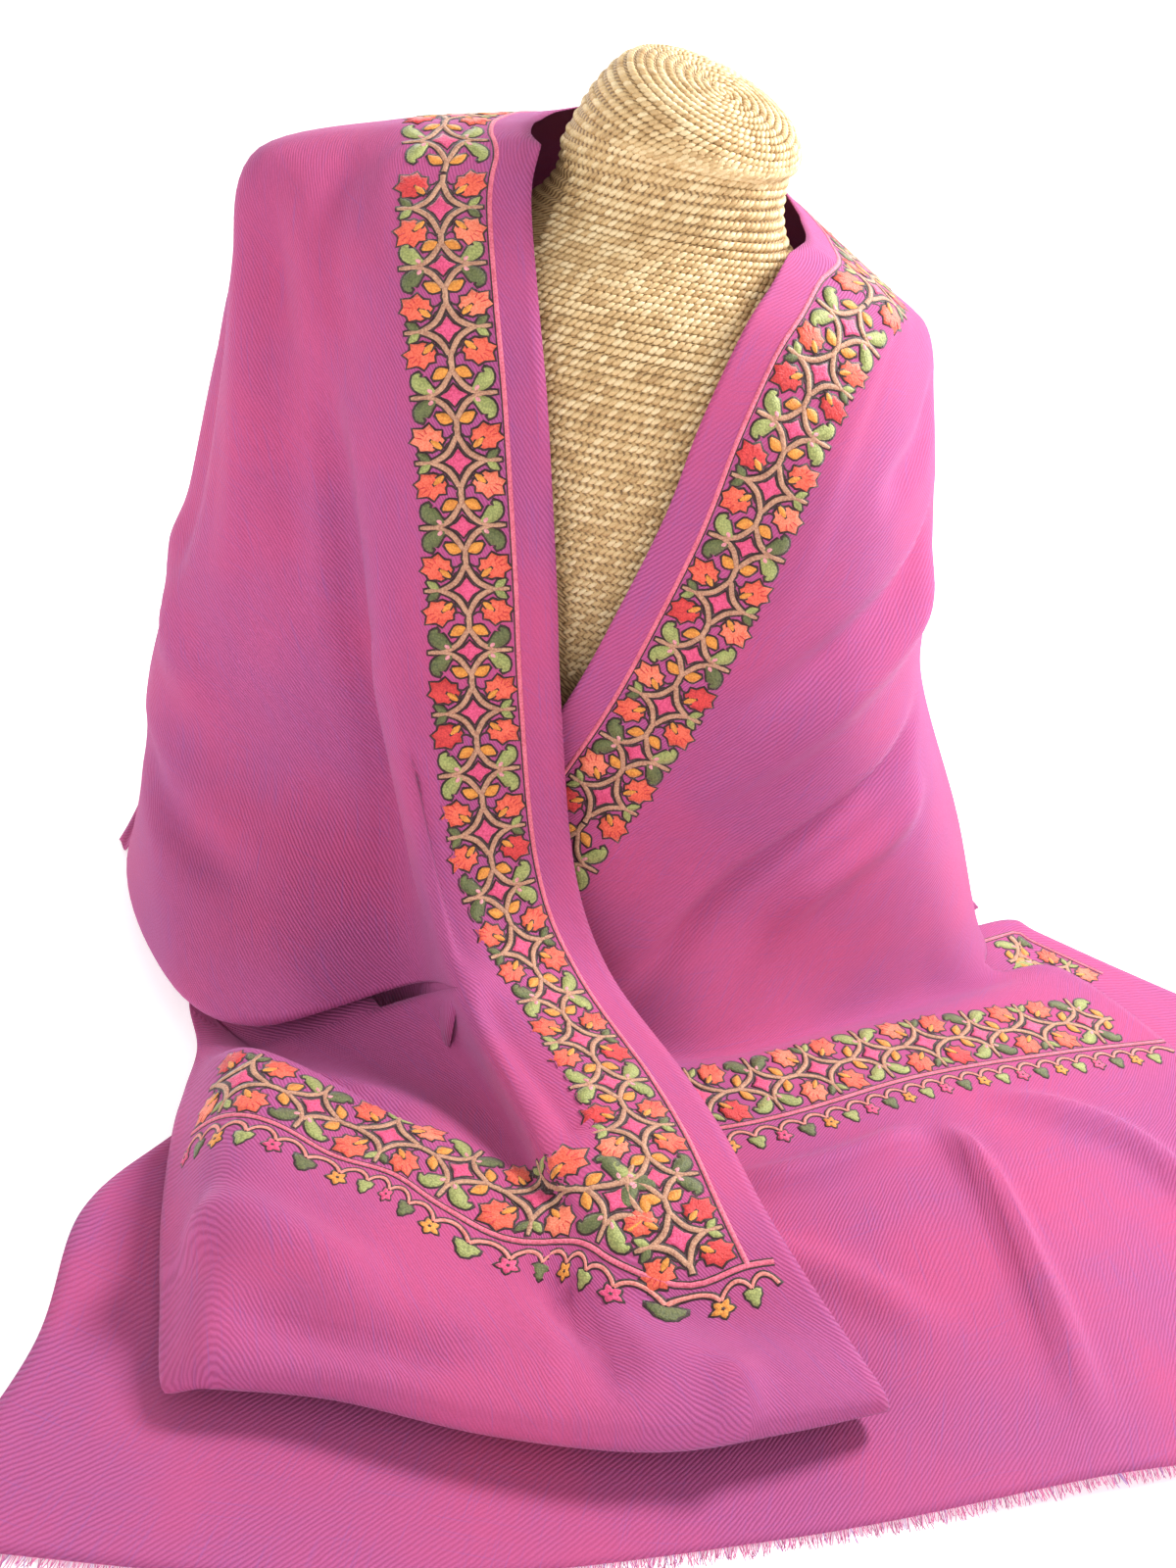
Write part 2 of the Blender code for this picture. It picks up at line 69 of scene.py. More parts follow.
# ------------------------------------------------------------------- the shawl's lie
# Rows go round the form at one level, from the left half's inner edge, round the back,
# to the right half's inner edge. The lines that cross them are, in order: inner edge,
# outer edge of its border, fold crest, fold valley, panel, side (two), back (four),
# side (two), panel (three), outer edge of the border, inner edge.
LEFT_LINES, RIGHT_LINES, STRIP_LINES = 7, 7, 3
CAPE: list[Row] = [
    # round the back of the neck
    [(-.066, -.030, .446), (-.072, -.021, .448), (-.074, -.012, .450), (-.074, -.002, .452),
     (-.072, .008, .453), (-.069, .019, .455), (-.064, .030, .457), (-.050, .050, .460),
     (-.022, .066, .462), (.022, .066, .456), (.053, .048, .443), (.068, .024, .433),
     (.071, .012, .430), (.073, .003, .428), (.074, -.006, .427), (.074, -.014, .426),
     (.073, -.022, .425), (.066, -.042, .422)],
    # over the shoulders
    [(-.064, -.055, .425), (-.127, -.040, .428), (-.140, -.026, .432), (-.147, -.012, .436),
     (-.147, .004, .438), (-.142, .022, .438), (-.132, .042, .437), (-.100, .078, .432),
     (-.045, .103, .428), (.042, .104, .420), (.092, .078, .412), (.122, .040, .404),
     (.128, .022, .402), (.130, .008, .402), (.130, -.006, .402), (.127, -.016, .403),
     (.116, -.032, .405), (.060, -.064, .409)],
    # upper chest and shoulder tips
    [(-.050, -.086, .386), (-.118, -.080, .390), (-.146, -.066, .395), (-.172, -.050, .402),
     (-.199, -.032, .411), (-.211, -.011, .413), (-.211, .020, .407), (-.168, .085, .388),
     (-.070, .125, .378), (.060, .126, .372), (.122, .092, .372), (.147, .045, .384),
     (.151, .022, .387), (.150, .000, .388), (.140, -.025, .386), (.128, -.045, .385),
     (.112, -.060, .386), (.051, -.086, .390)],
    # chest
    [(-.036, -.106, .345), (-.105, -.104, .348), (-.133, -.094, .350), (-.160, -.078, .354),
     (-.190, -.060, .360), (-.215, -.032, .364), (-.216, .020, .358), (-.172, .100, .335),
     (-.075, .138, .322), (.070, .138, .318), (.138, .102, .322), (.163, .048, .343),
     (.166, .018, .346), (.162, -.012, .348), (.145, -.045, .347), (.124, -.070, .346),
     (.104, -.086, .346), (.040, -.106, .346)],
    [(-.024, -.118, .301), (-.092, -.120, .303), (-.118, -.114, .303), (-.142, -.096, .305),
     (-.180, -.080, .307), (-.217, -.045, .310), (-.219, .025, .303), (-.180, .108, .285),
     (-.078, .146, .272), (.076, .146, .270), (.148, .107, .275), (.176, .046, .300),
     (.179, .012, .301), (.173, -.022, .302), (.148, -.062, .302), (.121, -.087, .302),
     (.097, -.101, .302), (.033, -.117, .302)],
    # breast level and below it
    [(-.012, -.126, .253), (-.080, -.131, .253), (-.104, -.130, .253), (-.126, -.104, .253),
     (-.172, -.090, .252), (-.220, -.055, .250), (-.224, .022, .248), (-.186, .112, .238),
     (-.082, .151, .226), (.081, .151, .226), (.156, .110, .230), (.186, .048, .250),
     (.190, .010, .250), (.182, -.028, .250), (.150, -.072, .250), (.116, -.098, .250),
     (.086, -.112, .250), (.020, -.121, .250)],
    [(.001, -.131, .195), (-.064, -.142, .196), (-.088, -.146, .197), (-.108, -.112, .192),
     (-.165, -.096, .190), (-.225, -.060, .188), (-.230, .020, .188), (-.192, .118, .180),
     (-.087, .157, .175), (.087, .157, .175), (.163, .114, .180), (.199, .052, .190),
     (.203, .008, .190), (.190, -.036, .190), (.152, -.080, .192), (.105, -.106, .193),
     (.068, -.119, .195), (.004, -.121, .195)],
    # waist
    [(.025, -.145, .110), (-.030, -.168, .116), (-.052, -.178, .118), (-.073, -.128, .100),
     (-.145, -.112, .102), (-.231, -.066, .098), (-.242, .020, .100), (-.206, .128, .100),
     (-.092, .172, .100), (.092, .172, .100), (.182, .130, .100), (.250, .070, .095),
     (.250, .010, .096), (.220, -.040, .100), (.150, -.088, .104), (.085, -.112, .108),
     (.034, -.126, .112), (-.028, -.124, .112)],
    # where the cloth meets the table
    [(.054, -.168, .066), (.006, -.205, .074), (-.018, -.222, .074), (-.048, -.180, .042),
     (-.118, -.220, .030), (-.178, -.186, .018), (-.241, -.055, .013), (-.230, .140, .012),
     (-.096, .205, .012), (.096, .205, .012), (.215, .155, .012), (.287, .072, .012),
     (.295, .008, .012), (.250, -.037, .012), (.190, -.084, .012), (.107, -.141, .012),
     (.015, -.150, .012), (-.060, -.140, .012)],
]
# Past the table row the left half's border strip (its first three lines) goes on over
# the heap. The rest of its panel ends there in a rim, and the rest of the heap starts
# below that rim. These rows are the way the panel heads past the rim, the way the heap
# comes from behind it, and the heap's own start, each for the lines past the strip.
PANEL_RUN_ON: Row = [(-.030, -.200, .030), (-.112, -.214, .016), (-.172, -.180, .006),
                (-.252, -.045, .0014)]
HEAP_RUN_IN: Row = [(-.080, -.140, .040), (-.142, -.192, .006), (-.168, -.180, .003),
               (-.168, -.172, .002)]
HEAP_START: Row = [(-.045, -.188, .036), (-.112, -.216, .010), (-.138, -.208, .006),
              (-.160, -.196, .004)]
LEFT_HEAP: list[Row] = [
    # the heap comes out from under the rim
    [(.100, -.232, .058), (.053, -.262, .063), (.023, -.280, .058), (.000, -.245, .032),
     (-.078, -.240, .018), (-.120, -.236, .016), (-.146, -.228, .006)],
    # upper edge of the end border
    [(.122, -.275, .059), (.078, -.302, .061), (.048, -.320, .053), (.020, -.290, .036),
     (-.058, -.276, .040), (-.113, -.266, .043), (-.142, -.260, .006)],
    # middle of the end border
    [(.142, -.318, .057), (.100, -.338, .053), (.070, -.347, .047), (.028, -.326, .041),
     (-.048, -.312, .044), (-.106, -.300, .048), (-.138, -.292, .006)],
    # past the end border's line
    [(.165, -.352, .050), (.125, -.366, .037), (.085, -.370, .035), (.030, -.366, .034),
     (-.040, -.360, .045), (-.096, -.352, .048), (-.125, -.348, .006)],
    [(.188, -.374, .038), (.145, -.391, .040), (.100, -.400, .041), (.035, -.402, .035),
     (-.030, -.400, .040), (-.084, -.402, .040), (-.109, -.398, .007)],
    # the front fold: its top, its rim and the cloth turned under
    [(.203, -.383, .026), (.160, -.406, .030), (.108, -.427, .031), (.040, -.434, .028),
     (-.025, -.432, .028), (-.073, -.440, .026), (-.094, -.442, .010)],
    [(.203, -.376, .012), (.158, -.398, .010), (.106, -.421, .010), (.040, -.430, .010),
     (-.025, -.429, .010), (-.068, -.434, .010), (-.086, -.434, .009)],
    [(.172, -.345, .010), (.132, -.362, .0085), (.090, -.380, .0085), (.035, -.388, .0085),
     (-.022, -.388, .0085), (-.062, -.392, .0085), (-.080, -.392, .0085)],
]
# The hem behind the form, from the left side line to the right side line.
BACK_HEM: Row = [(-.252, -.045, .0014), (-.258, .190, .0014), (-.110, .335, .0014),
            (.110, .335, .0014), (.245, .225, .0014), (.302, .086, .007)]
# The right half goes on over the table: its last six lines, fold crease first.
RIGHT_END: list[Row] = [
    # upper edge of the end border
    [(.346, .020, .013), (.284, -.043, .013), (.204, -.102, .012), (.114, -.162, .011),
     (.000, -.190, .005), (-.090, -.190, .003)],
    # the end border's line
    [(.404, -.038, .012), (.330, -.076, .012), (.240, -.128, .011), (.134, -.203, .008),
     (-.012, -.262, .002), (-.137, -.286, .0014)],
    # plain end
    [(.440, -.110, .010), (.366, -.135, .009), (.262, -.188, .012), (.147, -.262, .005),
     (-.008, -.320, .0014), (-.161, -.349, .0014)],
    [(.465, -.190, .006), (.385, -.235, .006), (.282, -.288, .012), (.158, -.350, .002),
     (-.005, -.405, .0014), (-.152, -.430, .0014)],
    # the woven end, where the fringe starts
    [(.485, -.275, .0014), (.398, -.340, .005), (.300, -.385, .008), (.168, -.442, .0014),
     (.005, -.500, .0014), (-.165, -.525, .0014)],
]
# The pleat's under layer, in rows from under the crease to the woven end; each row goes
# from the outer selvedge to the edge that the crease hides.
RIGHT_PLEAT: list[Row] = [
    [(.272, .046, .0014), (.266, .000, .0014), (.262, -.040, .0014)],
    [(.324, .088, .0014), (.318, .030, .0014), (.312, -.030, .0014)],
    [(.345, .079, .0014), (.345, .020, .0014), (.345, -.045, .0014)],
    [(.400, .052, .0014), (.402, .000, .0014), (.408, -.060, .0014)],
    [(.470, .022, .0014), (.466, -.040, .0014), (.462, -.100, .0014)],
    [(.560, -.008, .0014), (.548, -.070, .0014), (.530, -.130, .0014)],
    [(.645, -.030, .0014), (.628, -.095, .0014), (.602, -.155, .0014)],
]

# The form's level rings: height, half width, half depth, middle x.
FORM_RINGS: list[tuple[float, ...]] = [
    (0.000, 0.115, 0.085, 0.000), (0.100, 0.120, 0.092, 0.000), (0.200, 0.135, 0.104, -0.005),
    (0.260, 0.147, 0.110, -0.010), (0.310, 0.154, 0.108, -0.012), (0.350, 0.152, 0.099, -0.012),
    (0.382, 0.132, 0.085, -0.010), (0.404, 0.096, 0.067, -0.006), (0.418, 0.072, 0.058, -0.002),
    (0.432, 0.062, 0.055, 0.000), (0.448, 0.060, 0.054, 0.000),
]
# The neck's slanted rings above them: middle, radius, slant in degrees.
NECK_RINGS: list[tuple[Point, float, float]] = [
    ((0.003, 0.000, 0.459), 0.057, 8.0), ((0.008, -0.001, 0.468), 0.056, 15.0),
    ((0.013, -0.003, 0.477), 0.052, 21.0), ((0.016, -0.005, 0.483), 0.043, 22.0),
    ((0.018, -0.006, 0.486), 0.022, 22.0),
]
FORM_YAW = math.radians(-8.0)
NECK_SLANT_DIRECTION = (0.7508, -0.6606)


# ----------------------------------------------------------------------------- curves
def spline(points: np.ndarray, at: np.ndarray) -> np.ndarray:
    """Read a Catmull-Rom curve, or a stack of them.

    Args:
        points: The control points, along the first axis.
        at: Positions counted in points; they may run a little past both ends.

    Returns:
        One value for each position, along the first axis.
    """
    last = len(points) - 1
    index = np.clip(at.astype(int), 0, last - 1)
    t = (at - index).reshape((-1,) + (1,) * (points.ndim - 1))
    padded = np.concatenate([2 * points[:1] - points[1:2], points,
                             2 * points[-1:] - points[-2:-1]])
    p0, p1, p2, p3 = (padded[index + step] for step in range(4))
    return 0.5 * (2 * p1 + (p2 - p0) * t + (2 * p0 - 5 * p1 + 4 * p2 - p3) * t ** 2
                  + (3 * p1 - p0 - 3 * p2 + p3) * t ** 3)


def unit(vectors: np.ndarray) -> np.ndarray:
    """Return the vectors at length one."""
    return vectors / np.maximum(np.linalg.norm(vectors, axis=-1, keepdims=True), 1e-12)


def arc_lengths(points: np.ndarray, axis: int = 0) -> np.ndarray:
    """Return the running length of polylines of points along an axis, from zero."""
    steps = np.linalg.norm(np.diff(points, axis=axis), axis=-1)
    start = np.zeros_like(np.take(steps, [0], axis=axis))
    return np.cumsum(np.concatenate([start, steps], axis=axis), axis=axis)


def read_at(stops: np.ndarray, length: np.ndarray, values: np.ndarray) -> np.ndarray:
    """Return a path's vectors at stops, from those that it has at its running lengths."""
    return np.stack([np.interp(stops, length, values[:, axis]) for axis in range(3)], axis=-1)


def resample(points: np.ndarray, step: float) -> np.ndarray:
    """Return a polyline's points again, an even step apart."""
    length = arc_lengths(points)
    count = max(2, int(round(length[-1] / step)) + 1)
    return read_at(np.linspace(0.0, length[-1], count), length, points)


def smooth_along(values: np.ndarray, reach: int, times: int = 1) -> np.ndarray:
    """Return values averaged along the first axis over a window of a few neighbours."""
    for _ in range(times):
        padded = np.concatenate([values[:1]] * reach + [values] + [values[-1:]] * reach)
        values = sum(padded[shift:shift + len(values)] for shift in range(2 * reach + 1))
        values = values / (2 * reach + 1)
    return values


# ---------------------------------------------------------------------- cloth surfaces
class Drape:
    """A smooth surface through rows of points, each row starting at its own line."""

    def __init__(self, rows: Sequence[tuple[int, Row]]) -> None:
        """Take rows as pairs: the number of the row's first line, and its points."""
        self.rows = [(first, np.array(points, float)) for first, points in rows]

    def at(self, rows_at: np.ndarray, lines_at: np.ndarray) -> np.ndarray:
        """Return the surface points where the row and line positions cross.

        Args:
            rows_at: Row positions.
            lines_at: Line positions.

        Returns:
            An array of rows by lines by three.
        """
        across = np.stack([spline(points, lines_at - first) for first, points in self.rows])
        return spline(across, rows_at)

    def fine(self, row_span: tuple[int, int], line_span: tuple[int, int],
             cell: float = GRID_CELL) -> tuple[np.ndarray, np.ndarray]:
        """Return row and line positions that cut a part of the surface in even cells."""
        rows = np.arange(row_span[0], row_span[1] + 1, dtype=float)
        lines = np.arange(line_span[0], line_span[1] + 1, dtype=float)
        net = self.at(rows, lines)
        down = np.linalg.norm(np.diff(net, axis=0), axis=-1).mean(axis=1)
        over = np.linalg.norm(np.diff(net, axis=1), axis=-1).mean(axis=0)
        return subdivide(rows, down, cell), subdivide(lines, over, cell)


def subdivide(stops: np.ndarray, lengths: np.ndarray, cell: float) -> np.ndarray:
    """Return positions between whole stops, about a cell apart in real length."""
    cuts = [np.linspace(low, high, max(1, math.ceil(length / cell)), endpoint=False)
            for low, high, length in zip(stops, stops[1:], lengths)]
    return np.append(np.concatenate(cuts), stops[-1])


def grid_normals(points: np.ndarray) -> np.ndarray:
    """Return unit normals of a grid of points, outwards on the shawl's rows and lines."""
    return unit(np.cross(np.gradient(points, axis=1), np.gradient(points, axis=0)))


@dataclass
class Fold:
    """A soft ridge or trough along a path on the cloth.

    Args:
        path: Positions of the path on the drape, as row and line.
        width: Distance from its middle to where it fades out.
        height: How far it stands out; a trough is below zero.
        ends: Share of the path over which it fades in and out at either end.
    """
    path: Sequence[tuple[float, float]]
    width: float
    height: float
    ends: float = 0.3

    def lift(self, drape: Drape, points: np.ndarray) -> np.ndarray:
        """Return how far each point of a grid is lifted along its normal."""
        knots = np.array(self.path, float)
        at = np.linspace(0, len(knots) - 1, 8 * len(knots))
        route = spline(knots, at)
        line = np.array([drape.at(route[i:i + 1, 0], route[i:i + 1, 1])[0, 0]
                         for i in range(len(route))])
        flat = points.reshape(-1, 3)
        best = np.full(len(flat), 1e9)
        share = np.zeros(len(flat))
        for i in range(len(line) - 1):
            run = line[i + 1] - line[i]
            t = np.clip(((flat - line[i]) @ run) / max(run @ run, 1e-12), 0, 1)
            away = np.linalg.norm(flat - line[i] - t[:, None] * run, axis=1)
            closer = away < best
            best[closer] = away[closer]
            share[closer] = ((i + t) / (len(line) - 1))[closer]
        profile = np.where(best < self.width,
                           0.5 + 0.5 * np.cos(np.pi * np.minimum(best / self.width, 1)), 0)
        fade = np.clip(np.minimum(share, 1 - share) / self.ends, 0, 1)
        fade = fade * fade * (3 - 2 * fade)
        return (self.height * profile * fade).reshape(points.shape[:2])


# The soft folds of each patch, on its own row and line numbers.
FOLDS: dict[str, list[Fold]] = {
    "left": [
        Fold([(6.3, 1.70), (7.0, 1.62), (8.0, 1.55)], 0.012, -0.0055, 0.2),
        Fold([(5.6, 2.35), (6.6, 2.40), (7.8, 2.45)], 0.010, 0.0030),
        Fold([(1.8, 3.9), (3.2, 3.8), (4.6, 3.7), (6.2, 3.7)], 0.020, -0.0050),
        Fold([(1.6, 4.5), (3.0, 4.4), (4.8, 4.3), (6.4, 4.4)], 0.020, 0.0040),
        Fold([(2.0, 5.3), (3.5, 5.1), (5.0, 5.0), (6.8, 5.2)], 0.022, -0.0055),
        Fold([(5.4, 5.6), (6.2, 5.0), (6.9, 4.3)], 0.024, 0.0040),
        Fold([(7.1, 5.5), (7.3, 4.8), (7.5, 4.0)], 0.018, -0.0050),
        Fold([(3.0, 3.15), (4.6, 3.05), (6.4, 3.0), (7.6, 3.1)], 0.020, -0.0060),
        Fold([(1.2, 2.6), (2.4, 2.5), (4.0, 2.4)], 0.016, -0.0030),
    ],
    "heap": [
        Fold([(1.0, 1.55), (1.8, 1.50), (2.6, 1.40)], 0.012, -0.0045, 0.15),
        Fold([(5.5, 5.7), (5.6, 4.6), (6.0, 3.6)], 0.022, 0.0060),
        Fold([(6.3, 5.2), (6.5, 4.0), (6.3, 3.0)], 0.016, -0.0055),
        Fold([(4.6, 2.7), (5.6, 2.4), (6.8, 2.3)], 0.016, -0.0070),
        Fold([(2.2, 4.6), (2.6, 4.0), (3.2, 3.4)], 0.014, -0.0055),
        Fold([(5.8, 1.3), (6.6, 1.4), (7.2, 1.6)], 0.014, 0.0040),
    ],
    "right": [
        Fold([(3.7, 12.2), (4.6, 13.2), (5.2, 14.2), (6.1, 15.5)], 0.020, -0.0070),
        Fold([(4.4, 12.3), (5.2, 13.3), (5.9, 14.3), (6.9, 15.6)], 0.020, 0.0055),
        Fold([(5.9, 12.4), (6.4, 13.3), (6.9, 14.2), (7.4, 15.0), (7.8, 15.6)], 0.013, -0.0070),
        Fold([(6.4, 12.6), (6.9, 13.5), (7.4, 14.4)], 0.016, 0.0050),
        Fold([(2.4, 12.6), (3.2, 13.4), (3.8, 14.4)], 0.016, -0.0035),
    ],
    "end": [
        Fold([(10.6, 14.05), (11.5, 13.95), (12.9, 13.9)], 0.014, 0.0080),
        Fold([(10.4, 13.8), (11.0, 13.1), (12.0, 12.6)], 0.016, 0.0055),
        Fold([(10.7, 15.2), (10.75, 14.6), (10.7, 14.1)], 0.014, 0.0065),
        Fold([(11.0, 15.4), (11.5, 14.8), (12.2, 14.3)], 0.020, 0.0035),
    ],
    "back": [
        Fold([(1.5, 7.2), (3.5, 7.0), (6.0, 6.8), (8.3, 6.9)], 0.024, -0.0060),
        Fold([(1.3, 8.1), (3.5, 8.0), (6.0, 7.9), (8.2, 7.9)], 0.026, 0.0060),
        Fold([(1.2, 9.0), (3.5, 9.1), (6.0, 9.2), (8.2, 9.3)], 0.024, -0.0060),
        Fold([(1.6, 10.0), (3.5, 10.1), (6.0, 10.3), (8.0, 10.2)], 0.022, 0.0055),
    ],
}


# ------------------------------------------------------------------------- mesh makers
def add_piece(name: str, vertices: np.ndarray, faces: Sequence[Sequence[int]],
              materials: Sequence[bpy.types.Material]) -> bpy.types.Object:
    """Add a smooth-shaded mesh object to the scene.

    Args:
        name: The piece's name.
        vertices: Its points.
        faces: Its faces, as point numbers.
        materials: Its materials, in slot order.

    Returns:
        The new object.
    """
    mesh = bpy.data.meshes.new(name)
    mesh.from_pydata(np.asarray(vertices).tolist(), [], [tuple(map(int, f)) for f in faces])
    for material in materials:
        mesh.materials.append(material)
    mesh.shade_smooth()
    mesh.update()
    piece = bpy.data.objects.new(name, mesh)
    bpy.context.scene.collection.objects.link(piece)
    return piece


def grid_faces(rows: int, lines: int, offset: int = 0, closed: bool = False) -> np.ndarray:
    """Return the faces of a grid of points; closed joins the last line to the first."""
    i, j = np.meshgrid(np.arange(rows - 1), np.arange(lines if closed else lines - 1),
                       indexing="ij")
    right = (j + 1) % lines
    quads = np.stack([i * lines + j, i * lines + right, (i + 1) * lines + right,
                      (i + 1) * lines + j], axis=-1).reshape(-1, 4)
    return quads + offset


def settle(piece: bpy.types.Object) -> None:
    """Make a piece's live modifiers part of its mesh."""
    view = bpy.context.evaluated_depsgraph_get()
    mesh = bpy.data.meshes.new_from_object(piece.evaluated_get(view),
                                           preserve_all_data_layers=True, depsgraph=view)
    piece.modifiers.clear()
    old, piece.data = piece.data, mesh
    bpy.data.meshes.remove(old)
    mesh.name = piece.name


def unwrap(piece: bpy.types.Object, label: str, flat: np.ndarray) -> None:
    """Give a piece a UV map from the place of each of its points on the flat."""
    corners = np.empty(len(piece.data.loops), dtype=int)
    piece.data.loops.foreach_get("vertex_index", corners)
    piece.data.uv_layers.new(name=label).data.foreach_set("uv", flat[corners].ravel())


def attach(piece: bpy.types.Object) -> None:
    """Set a piece on the one body and report it."""
    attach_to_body(piece, "root")
    LOG.info("%s: %d faces", piece.name, len(piece.data.polygons))


# ------------------------------------------------------------------------ node helpers
class NodePlan:
    """Short ways to add and join the nodes of one tree."""

    def __init__(self, tree: bpy.types.NodeTree) -> None:
        """Keep the tree that the nodes go into."""
        self.tree = tree

    def add(self, kind: str, inputs: dict[object, object] | None = None,
            **settings: object) -> bpy.types.Node:
        """Add a node.

        Args:
            kind: The node's type name.
            inputs: What goes into its sockets: another socket, or a value.
            settings: Its own settings.

        Returns:
            The new node.
        """
        node = self.tree.nodes.new(kind)
        for key, value in settings.items():
            setattr(node, key, value)
        for key, value in (inputs or {}).items():
            if isinstance(value, bpy.types.NodeSocket):
                self.tree.links.new(value, node.inputs[key])
            else:
                node.inputs[key].default_value = value
        return node

    def math(self, operation: str, a: object, b: object = 0.0, c: object = 0.0,
             clamp: bool = False) -> bpy.types.NodeSocket:
        """Add a sum on one or more numbers and return its result."""
        node = self.add("ShaderNodeMath", {0: a, 1: b, 2: c}, operation=operation,
                        use_clamp=clamp)
        return node.outputs[0]

    def ramp(self, factor: bpy.types.NodeSocket,
             stops: Sequence[tuple[float, Sequence[float]]]) -> bpy.types.NodeSocket:
        """Add a colour ramp with its stops and return its colour."""
        node = self.add("ShaderNodeValToRGB", {"Fac": factor})
        band = node.color_ramp.elements
        while len(band) < len(stops):
            band.new(0.5)
        for element, (place, colour) in zip(band, stops):
            element.position = place
            element.color = (*colour, 1.0) if len(colour) == 3 else colour
        return node.outputs["Color"]

    def mix(self, factor: object, a: object, b: object,
            blend: str = "MIX") -> bpy.types.NodeSocket:
        """Add a colour mix and return its result."""
        node = self.add("ShaderNodeMix", data_type="RGBA", blend_type=blend)
        for key, value in (("Factor", factor), ("A", a), ("B", b)):
            socket = next(s for s in node.inputs
                          if s.name == key and s.type == ("VALUE" if key == "Factor" else "RGBA")
                          and s.enabled)
            if isinstance(value, bpy.types.NodeSocket):
                self.tree.links.new(value, socket)
            else:
                socket.default_value = value if key == "Factor" else (*value, 1.0)[:4]
        return next(s for s in node.outputs if s.type == "RGBA" and s.enabled)


